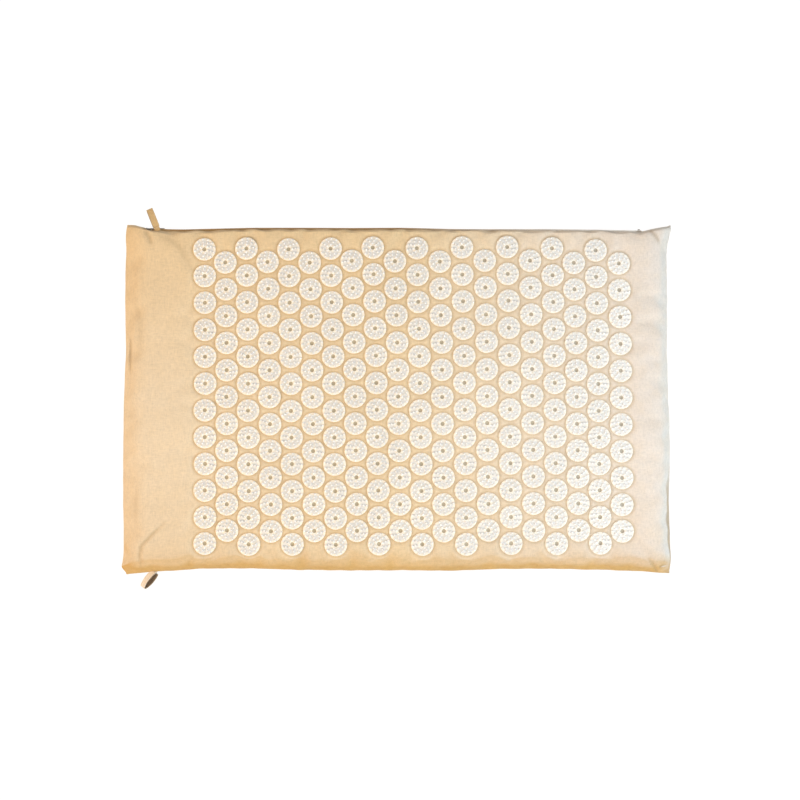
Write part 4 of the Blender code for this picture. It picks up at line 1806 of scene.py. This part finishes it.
@dataclass
class Zip:
    """The zip: woven tapes, coiled teeth, bindings, stitching, slider and pull tab."""

    tooth_pitch: float = 1.45 * MM
    tooth_wire: float = 0.32 * MM
    tooth_head_share: float = 0.9
    tooth_stagger_share: float = 0.25
    stitch_length: float = 2.6 * MM
    stitch_pitch: float = 3.4 * MM
    stitch_radius: float = 0.22 * MM
    stitch_rise: float = 5.4 * MM
    stitch_start: float = 7.0 * MM
    stitch_margins: float = 12.0 * MM
    tape_cuts: int = 3
    tape_tuck: float = 4.0 * MM
    tape_tucked: Span = (0.25, 1.0)
    tape_cord_share: float = 0.5
    tape_corded: Span = (0.45, 0.0)
    tape_edge: float = 0.12 * MM
    binding_width: float = 2.2 * MM
    binding_thick: float = 2.9 * MM
    binding_out: float = -0.15 * MM
    binding_end: float = 0.3040
    binding_cuts: int = 60
    binding_edge: float = 0.3 * MM
    binding_taper: float = 8.0 * MM
    binding_tip_share: float = 0.3
    binding_thin_share: float = 0.6
    binding_thinned: Span = (20 * MM, 120 * MM)
    plate_thick: float = 1.0 * MM
    plate_gap: float = 0.3 * MM
    plate_corner: float = 1.3 * MM
    tail_share: float = 0.84
    overlap: float = 0.2 * MM
    flange_thick: float = 0.6 * MM
    flange_gap: float = 0.62 * MM
    flange_inset: float = 1.2 * MM
    flange_share: float = 0.86
    lug_half: float = 1.2 * MM
    lug_thick: float = 0.9 * MM
    pin_radius: float = 0.5 * MM
    pin_out: float = 1.1 * MM
    past_pin: float = 0.8 * MM
    diamond_long: float = 2.4 * MM
    diamond_half: float = 0.2 * MM
    metal_edge: float = 0.15 * MM
    eye_radius: float = 1.08 * MM
    blade_share: float = 0.45
    blade_start: float = 3.2 * MM
    blade_corner: float = 1.6 * MM
    blade_rim: float = 0.8 * MM
    panel_wall: float = 0.15 * MM
    panel_depth: float = 0.18 * MM
    neck_share: float = 0.66
    neck_span: Span = (0.5 * MM, 3.6 * MM)
    tab_edge: float = 0.12 * MM

    def __post_init__(self) -> None:
        """Takes the zip's places from the frame."""
        self.upper_low, self.upper_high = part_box("zip_teeth_upper")
        self.lower_low, self.lower_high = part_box("zip_teeth_lower")
        self.axis_y = (self.upper_low.y + self.upper_high.y) / 2
        self.axis_z = (self.upper_low.z + self.lower_high.z) / 2
        self.thick = self.upper_high.y - self.upper_low.y
        self.thread = NylonFinish("stitching_thread", (0.80, 0.66, 0.47), (0.70, 0.55, 0.38), 0.6)

    def add_tape(self, word: str) -> None:
        """One tape: a thin woven strip with a corded edge beside the teeth.

        Args:
            word: upper or lower.
        """
        node = f"zip_tape_{word}"
        low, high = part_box(node)
        strip = block(node + "_weave", low, high)
        with Editing(strip):
            bpy.ops.mesh.subdivide(number_cuts=self.tape_cuts)
        inner = low.z if word == "upper" else high.z
        where = places(strip.data)
        away = np.abs(where[:, 2] - inner) / (high.z - low.z)
        corded = 1.0 + self.tape_cord_share * ease(away, *self.tape_corded)
        where[:, 1] = self.axis_y + (where[:, 1] - self.axis_y) * corded
        where[:, 1] -= self.tape_tuck * ease(away, *self.tape_tucked)
        put(strip.data, where)
        bevelled(strip, self.tape_edge, 1)
        finish = TapeFinish(
            "zip_tape_weave", face=(0.62, 0.45, 0.29), shade=(0.42, 0.29, 0.18), right_end_tone=(0.60, 0.50, 0.40)
        )
        finish_piece(strip, Body.MAT, Slot.TAPE, finish.material(), node)

    def add_teeth(self, word: str, finish: bpy.types.Material) -> None:
        """One row of coiled teeth, each a small hoop with a thick head towards the other row.

        Args:
            word: upper or lower.
            finish: The nylon.
        """
        node = f"zip_teeth_{word}"
        low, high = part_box(node)
        side = 1.0 if word == "upper" else -1.0
        head_z = low.z if word == "upper" else high.z
        tall = high.z - low.z
        bpy.ops.mesh.primitive_torus_add(
            major_segments=10,
            minor_segments=5,
            major_radius=self.thick / 2 - self.tooth_wire,
            minor_radius=self.tooth_wire,
            rotation=(0.0, math.pi / 2, 0.0),
            location=(0.0, 0.0, 0.0),
        )
        hoop = named(node + "_coil")
        settle(hoop)
        where = places(hoop.data)
        where[:, 2] *= tall / self.thick
        toward = ease(-side * where[:, 2], 0.0, tall / 2)
        where[:, 0] *= 1.0 + self.tooth_head_share * toward
        where[:, 0] += self.tooth_stagger_share * self.tooth_pitch * side
        first_x = low.x + self.tooth_pitch / 2
        middle = Vector((first_x, self.axis_y, head_z + side * tall / 2))
        put(hoop.data, where + np.array(middle))
        count = int((high.x - low.x - self.tooth_pitch) / self.tooth_pitch)
        repeat(hoop, count, (self.tooth_pitch, 0.0, 0.0))
        bpy.ops.object.shade_smooth()
        finish_piece(hoop, Body.MAT, Slot.TEETH, finish, node)

    def add_binding(self, cover: Cover) -> None:
        """The narrow tape that binds the upper lip of the opening.

        Args:
            cover: The cover, whose back edge it follows.
        """
        end_x = self.binding_end
        lip = cover.seam_z + cover.top.slot_lift + self.binding_width / 2
        bpy.ops.mesh.primitive_cube_add(size=1.0, location=(0.0, 0.0, lip))
        strip = named("zip_binding")
        strip.scale = (2 * end_x, self.binding_thick, self.binding_width)
        settle(strip)
        with Editing(strip) as work:
            work.pick_edges(lambda one, other: abs(one.x - other.x) > 0.1)
            bpy.ops.mesh.subdivide(number_cuts=self.binding_cuts)
        bevelled(strip, self.binding_edge, 2)
        where = places(strip.data)
        plump = ease(np.abs(where[:, 0]), end_x, end_x - self.binding_taper)
        plump *= 1.0 - self.binding_thin_share * ease(where[:, 0], *self.binding_thinned)
        where[:, 1] *= self.binding_tip_share + (1.0 - self.binding_tip_share) * plump
        lip = cover.half_width + cover.back.at(where[:, 0]) - cover.top.bay(where[:, 0])
        where[:, 1] += lip + self.binding_out
        put(strip.data, where)
        bpy.ops.object.shade_smooth()
        finish = TapeFinish(
            "binding_weave", face=(0.44, 0.29, 0.14), shade=(0.32, 0.20, 0.09), right_end_tone=(0.84, 0.82, 0.79)
        )
        finish_piece(strip, Body.MAT, Slot.TAPE, finish.material())

    def add_stitching(self, cover: Cover) -> None:
        """Two rows of stitches that hold the tapes to the cloths, each stitch lying on the cloth.

        Args:
            cover: The cover, whose back edge they follow.
        """
        low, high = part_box("zip_tape_upper")
        count = int((high.x - low.x - self.stitch_margins) / self.stitch_pitch)
        first_x = low.x + self.stitch_start
        for word, side in (("upper", 1.0), ("lower", -1.0)):
            bpy.ops.mesh.primitive_cylinder_add(
                vertices=6,
                radius=self.stitch_radius,
                depth=self.stitch_length,
                rotation=(0.0, math.pi / 2, 0.0),
            )
            row = named(f"zip_stitches_{word}")
            settle(row)
            bevelled(row, self.stitch_radius * 0.6, 1)
            each = len(row.data.vertices)
            repeat(row, count, (self.stitch_pitch, 0.0, 0.0))
            cloth = cover.cloths[side > 0]
            middle_z = cover.seam_z + side * self.stitch_rise
            seats = []
            for step in range(count):
                start = Vector((first_x + step * self.stitch_pitch, 2 * high.y, middle_z))
                struck, seat, _, _ = cloth.ray_cast(start, (0.0, -1.0, 0.0))
                seats.append(seat.y if struck else self.axis_y)
            where = places(row.data)
            where[:, 0] += first_x
            where[:, 1] += np.repeat(seats, each)
            where[:, 2] += middle_z
            put(row.data, where)
            bpy.ops.object.shade_smooth()
            finish_piece(row, Body.MAT, Slot.COVER if side > 0 else Slot.BASE, self.thread.material())

    def add_slider(self, finish: bpy.types.Material) -> None:
        """The slider: two shaped plates, their flanges, the bridge between them and the pin of the tab.

        Args:
            finish: The metal.
        """
        low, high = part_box("zip_slider")
        inner = self.thick / 2 + self.plate_gap
        outer = inner + self.plate_thick
        half = (high.x - low.x) / 2
        tall = (high.z - low.z) / 2
        pin_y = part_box("zip_pull_tab")[0].y - self.axis_y + self.pin_out
        parts = []
        for side in (1.0, -1.0):
            near, far = sorted((side * inner, side * outer))
            plate = block("plate", (-half, near, -tall), (half, far, tall))
            where = places(plate.data)
            tail = where[:, 0] > 0.0
            where[tail, 2] *= self.tail_share
            put(plate.data, where)
            with Editing(plate) as work:
                work.pick_edges(lambda one, other: abs(one.y - other.y) > 0.5 * MM)
                bpy.ops.mesh.bevel(offset=self.plate_corner, segments=4, affect="EDGES")
            parts.append(plate)
            flange_half = half - self.flange_inset
            for up in (self.flange_share, -self.flange_share):
                lip = sorted((side * self.flange_gap, side * (inner + self.overlap)))
                rim = sorted((up * (tall - self.flange_thick), up * tall))
                parts.append(block("flange", (-flange_half, lip[0], rim[0]), (flange_half, lip[1], rim[1])))
        for up in (1.0, -1.0):
            rim = sorted((up * (tall - self.lug_thick), up * tall * 0.98))
            low_corner = (-self.lug_half, outer - self.overlap, rim[0])
            lug = block("lug", low_corner, (self.lug_half, pin_y + self.past_pin, rim[1]))
            with Editing(lug) as work:
                work.pick_edges(
                    lambda one, other: min(one.y, other.y) > pin_y and abs(one.z - other.z) > 0.3 * MM
                )
                bpy.ops.mesh.bevel(offset=self.lug_thick, segments=3, affect="EDGES")
            parts.append(lug)
        front = (-half + self.diamond_long, inner, self.diamond_half)
        parts.append(block("diamond", (-half, -inner, -self.diamond_half), front))
        pin = rod("pin", self.pin_radius, -tall + self.overlap, tall - self.overlap)
        pin.data.transform(Matrix.Translation((0.0, pin_y, 0.0)))
        parts.append(pin)
        slider = joined("zip_slider_body", parts)
        slider.data.transform(Matrix.Translation(((low.x + high.x) / 2, self.axis_y, self.axis_z)))
        bevelled(slider, self.metal_edge, 2)
        bpy.ops.object.shade_smooth_by_angle(angle=math.radians(35))
        finish_piece(slider, Body.SLIDER, Slot.METAL, finish, "zip_slider")

    def add_tab(self, finish: bpy.types.Material) -> None:
        """The pull tab: a blade with a sunk panel on both faces, a neck and an eye round the pin.

        Args:
            finish: The metal.
        """
        low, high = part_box("zip_pull_tab")
        eye_x = low.x + self.pin_out
        blade_half = (high.y - low.y) / 2 * self.blade_share
        wide = (high.z - low.z) / 2
        neck_half = wide * self.neck_share
        long = high.x - eye_x
        blade = block("blade", (self.blade_start, -blade_half, -wide), (long, blade_half, wide))
        with Editing(blade) as work:
            work.pick_edges(lambda one, other: abs(one.y - other.y) > 0.5 * MM)
            bpy.ops.mesh.bevel(offset=self.blade_corner, segments=5, affect="EDGES")
            work.pick_faces(lambda centre, normal: abs(normal.y) > 0.9)
            bpy.ops.mesh.inset(thickness=self.blade_rim, use_individual=True)
            bpy.ops.mesh.inset(thickness=self.panel_wall, depth=-self.panel_depth, use_individual=True)
        neck_start, neck_end = self.neck_span
        neck = block("neck", (neck_start, -blade_half, -neck_half), (neck_end, blade_half, neck_half))
        eye = rod("eye", self.eye_radius, -neck_half, neck_half, 24)
        tab = joined("zip_pull_tab_blade", [blade, neck, eye])
        tab.data.transform(Matrix.Translation((eye_x, (low.y + high.y) / 2, self.axis_z)))
        bevelled(tab, self.tab_edge, 2)
        bpy.ops.object.shade_smooth_by_angle(angle=math.radians(35))
        finish_piece(tab, Body.PULL_TAB, Slot.METAL, finish, "zip_pull_tab")

    def build(self, cover: Cover) -> None:
        """The whole zip.

        Args:
            cover: The cover that it closes.
        """
        metal = MetalFinish("plated_zinc", (0.46, 0.41, 0.35), (0.34, 0.30, 0.25)).material()
        nylon = NylonFinish("coil_nylon", (0.56, 0.42, 0.28), (0.44, 0.32, 0.20)).material()
        for word in ("upper", "lower"):
            self.add_tape(word)
            self.add_teeth(word, nylon)
        self.add_binding(cover)
        self.add_stitching(cover)
        self.add_slider(metal)
        self.add_tab(metal)
        for node in ("zip_top_stop_upper", "zip_top_stop_lower", "zip_bottom_stop"):
            stop = bpy.data.objects[node]
            stop.data.materials.clear()
            stop.data.materials.append(metal)
            LOG.info("%s: dressed in the zip's metal", node)


@dataclass(frozen=True)
class CarryLoop:
    """A folded ribbon that is sewn into the seam."""

    node: str
    root: tuple[float, float, float]
    heading: float
    roll: float
    half_open: float
    root_width: float
    width: float = 8 * MM
    thick: float = 0.9 * MM
    length: float = 26.5 * MM
    turn: float = math.radians(140)
    root_taper: float = 0.6
    tip_taper: float = 0.65
    steps: int = 60
    across: int = 6
    root_thick: float = 1.8 * MM
    root_depth: float = 3 * MM
    cup: float = 0.25 * MM
    wave: float = 0.35 * MM
    band_edge: float = 0.2 * MM
    root_edge: float = 0.3 * MM
    root_overlap: float = 0.6 * MM
    tack_inset: float = 0.6 * MM
    tack_back: float = 1.2 * MM
    tack_stitches: int = 7
    tack_radius: float = 0.2 * MM
    tack_length: float = 2.2 * MM

    def spread(self, along: np.ndarray) -> np.ndarray:
        """How far the band stands from the loop's middle line.

        Args:
            along: 0 where the loop leaves the cover and 1 at its tip.

        Returns:
            The distance at each place.
        """
        peak = self.root_taper / (self.root_taper + self.tip_taper)
        most = peak**self.root_taper * (1.0 - peak) ** self.tip_taper
        return self.half_open * along**self.root_taper * (1.0 - along) ** self.tip_taper / most

    def build(self, finish: bpy.types.Material) -> None:
        """The ribbon, its sewn end and the stitches across it.

        Args:
            finish: The ribbon's twill.
        """
        place = Matrix.Translation(self.root) @ Matrix.Rotation(self.heading, 4, "Z")
        turned = place @ Matrix.Rotation(self.roll, 4, "Y")
        bpy.ops.mesh.primitive_grid_add(x_subdivisions=self.across, y_subdivisions=self.steps, size=2.0)
        band = named(self.node + "_band")
        band.data.uv_layers[0].name = "band"
        grid = places(band.data)
        side, run = grid[:, 0], grid[:, 1]
        along = (1.0 + np.cos(self.turn * run)) / 2
        opened = np.sign(run) * self.spread(along)
        opened += self.cup * side**2 * np.sign(opened + 1e-12)
        wavy = self.wave * np.sin(5.0 * run + 1.3) * side
        put(band.data, np.column_stack((side * self.width / 2, self.length * along + wavy, opened)))
        wall = band.modifiers.new("wall", "SOLIDIFY")
        wall.thickness = self.thick
        wall.offset = 0.0
        apply_all(band)
        bevelled(band, self.band_edge, 2)
        shell = places(band.data)
        middle = self.spread(np.clip(shell[:, 1] / self.length, 0.0, 1.0))
        # Marks the inside faces, for the painted shade there.
        mark(band.data, INSIDE, (np.abs(shell[:, 2]) < middle).astype(float))
        band.data.transform(turned)
        start = self.length * (1.0 + math.cos(self.turn)) / 2
        half = self.root_width / 2
        end = block(
            self.node + "_end",
            (-half, -self.root_depth, -self.root_thick / 2),
            (half, start + self.root_overlap, self.root_thick / 2),
        )
        end.data.uv_layers[0].name = "band"
        end.data.transform(place)
        bevelled(end, self.root_edge, 2)
        loop = joined(self.node + "_ribbon", [band, end])
        bpy.ops.object.shade_smooth_by_angle(angle=math.radians(40))
        finish_piece(loop, Body.MAT, Slot.RIBBON, finish, self.node)
        self.add_stitches(place, start)

    def add_stitches(self, place: Matrix, start: float) -> None:
        """A bar tack across the sewn end.

        Args:
            place: Where the loop leaves the cover.
            start: Where its two halves part.
        """
        gaps = self.tack_stitches - 1
        stride = (self.root_width - 2 * self.tack_inset) / gaps
        bpy.ops.mesh.primitive_cylinder_add(
            vertices=6, radius=self.tack_radius, depth=self.tack_length, rotation=(math.pi / 2, 0.0, 0.0)
        )
        tack = named(self.node + "_tack")
        settle(tack)
        repeat(tack, self.tack_stitches, (stride, 0.0, 0.0))
        low = Matrix.Translation((-stride * gaps / 2, start - self.tack_back, self.root_thick / 2))
        tack.data.transform(place @ low)
        bpy.ops.object.shade_smooth()
        thread = NylonFinish(self.node + "_thread", (0.74, 0.58, 0.38), (0.62, 0.47, 0.30), 0.6)
        finish_piece(tack, Body.MAT, Slot.RIBBON, thread.material())


@dataclass(frozen=True)
class FoamSlab:
    """The foam inside the cover, a slab with soft edges."""

    node: str = "foam_core"
    cuts: tuple[int, int] = (40, 25)
    rub: float = 6 * MM
    rub_reach: float = 26 * MM
    rub_below_share: float = 0.6
    edge: float = 2.5 * MM
    fill: float = 0.9

    def build(self) -> None:
        """The slab, as large as its solid, with finer faces and rubbed edges."""
        low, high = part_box(self.node)
        slab = block("foam_slab", low, high)
        with Editing(slab) as work:
            work.pick_edges(lambda one, other: abs(one.x - other.x) > 0.1)
            bpy.ops.mesh.subdivide(number_cuts=self.cuts[0])
            work.pick_edges(lambda one, other: abs(one.y - other.y) > 0.1)
            bpy.ops.mesh.subdivide(number_cuts=self.cuts[1])
        where = places(slab.data)
        half = np.array((high.x, high.y))
        inset = np.min(half - np.abs(where[:, :2]), axis=1)
        drop = ease(inset, self.rub_reach, 0.0) * self.rub
        middle = (low.z + high.z) / 2
        where[:, 2] += np.where(where[:, 2] > middle, -drop, drop * self.rub_below_share)
        put(slab.data, where)
        bevelled(slab, self.edge, 3)
        bpy.ops.object.shade_smooth()
        finish = FoamFinish("open_foam", (0.86, 0.80, 0.62), (0.66, 0.58, 0.40)).material()
        finish_piece(slab, Body.MAT, Slot.FOAM, finish, self.node)


def sew_loops(cover: Cover) -> None:
    """Makes both carry loops.

    Args:
        cover: The cover that they are sewn to.
    """
    # Painted shade: the back loop is the same ribbon as the pale front loop, coloured golden brown as it
    # looks in shade.
    shaded_twill = RibbonFinish("back_loop_twill", face=(0.69, 0.46, 0.21), shade=(0.50, 0.36, 0.21)).material()
    pale = RibbonFinish("front_loop_twill", face=(0.88, 0.81, 0.74), shade=(0.78, 0.69, 0.58)).material()
    CarryLoop(
        "carry_loop_back",
        root=(-296.5 * MM, cover.half_width - 1.5 * MM, cover.seam_z + 8.6 * MM),
        heading=math.radians(22),
        roll=math.radians(12),
        half_open=1.6 * MM,
        root_width=7 * MM,
    ).build(shaded_twill)
    CarryLoop(
        "carry_loop_front",
        root=(-294.5 * MM, -cover.half_width - 1 * MM, cover.seam_z),
        heading=math.radians(180 - 39),
        roll=math.radians(38),
        half_open=4.3 * MM,
        root_width=4 * MM,
    ).build(pale)


def main() -> None:
    """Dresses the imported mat."""
    logging.basicConfig(level=logging.INFO, format="%(message)s")
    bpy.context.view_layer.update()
    deselect_all()
    Studio().build()
    field = DiscField()
    cover = Cover()
    cover.build(field.centres())
    field.build()
    Zip().build(cover)
    FoamSlab().build()
    sew_loops(cover)


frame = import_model()

if __name__ == "__main__":
    main()
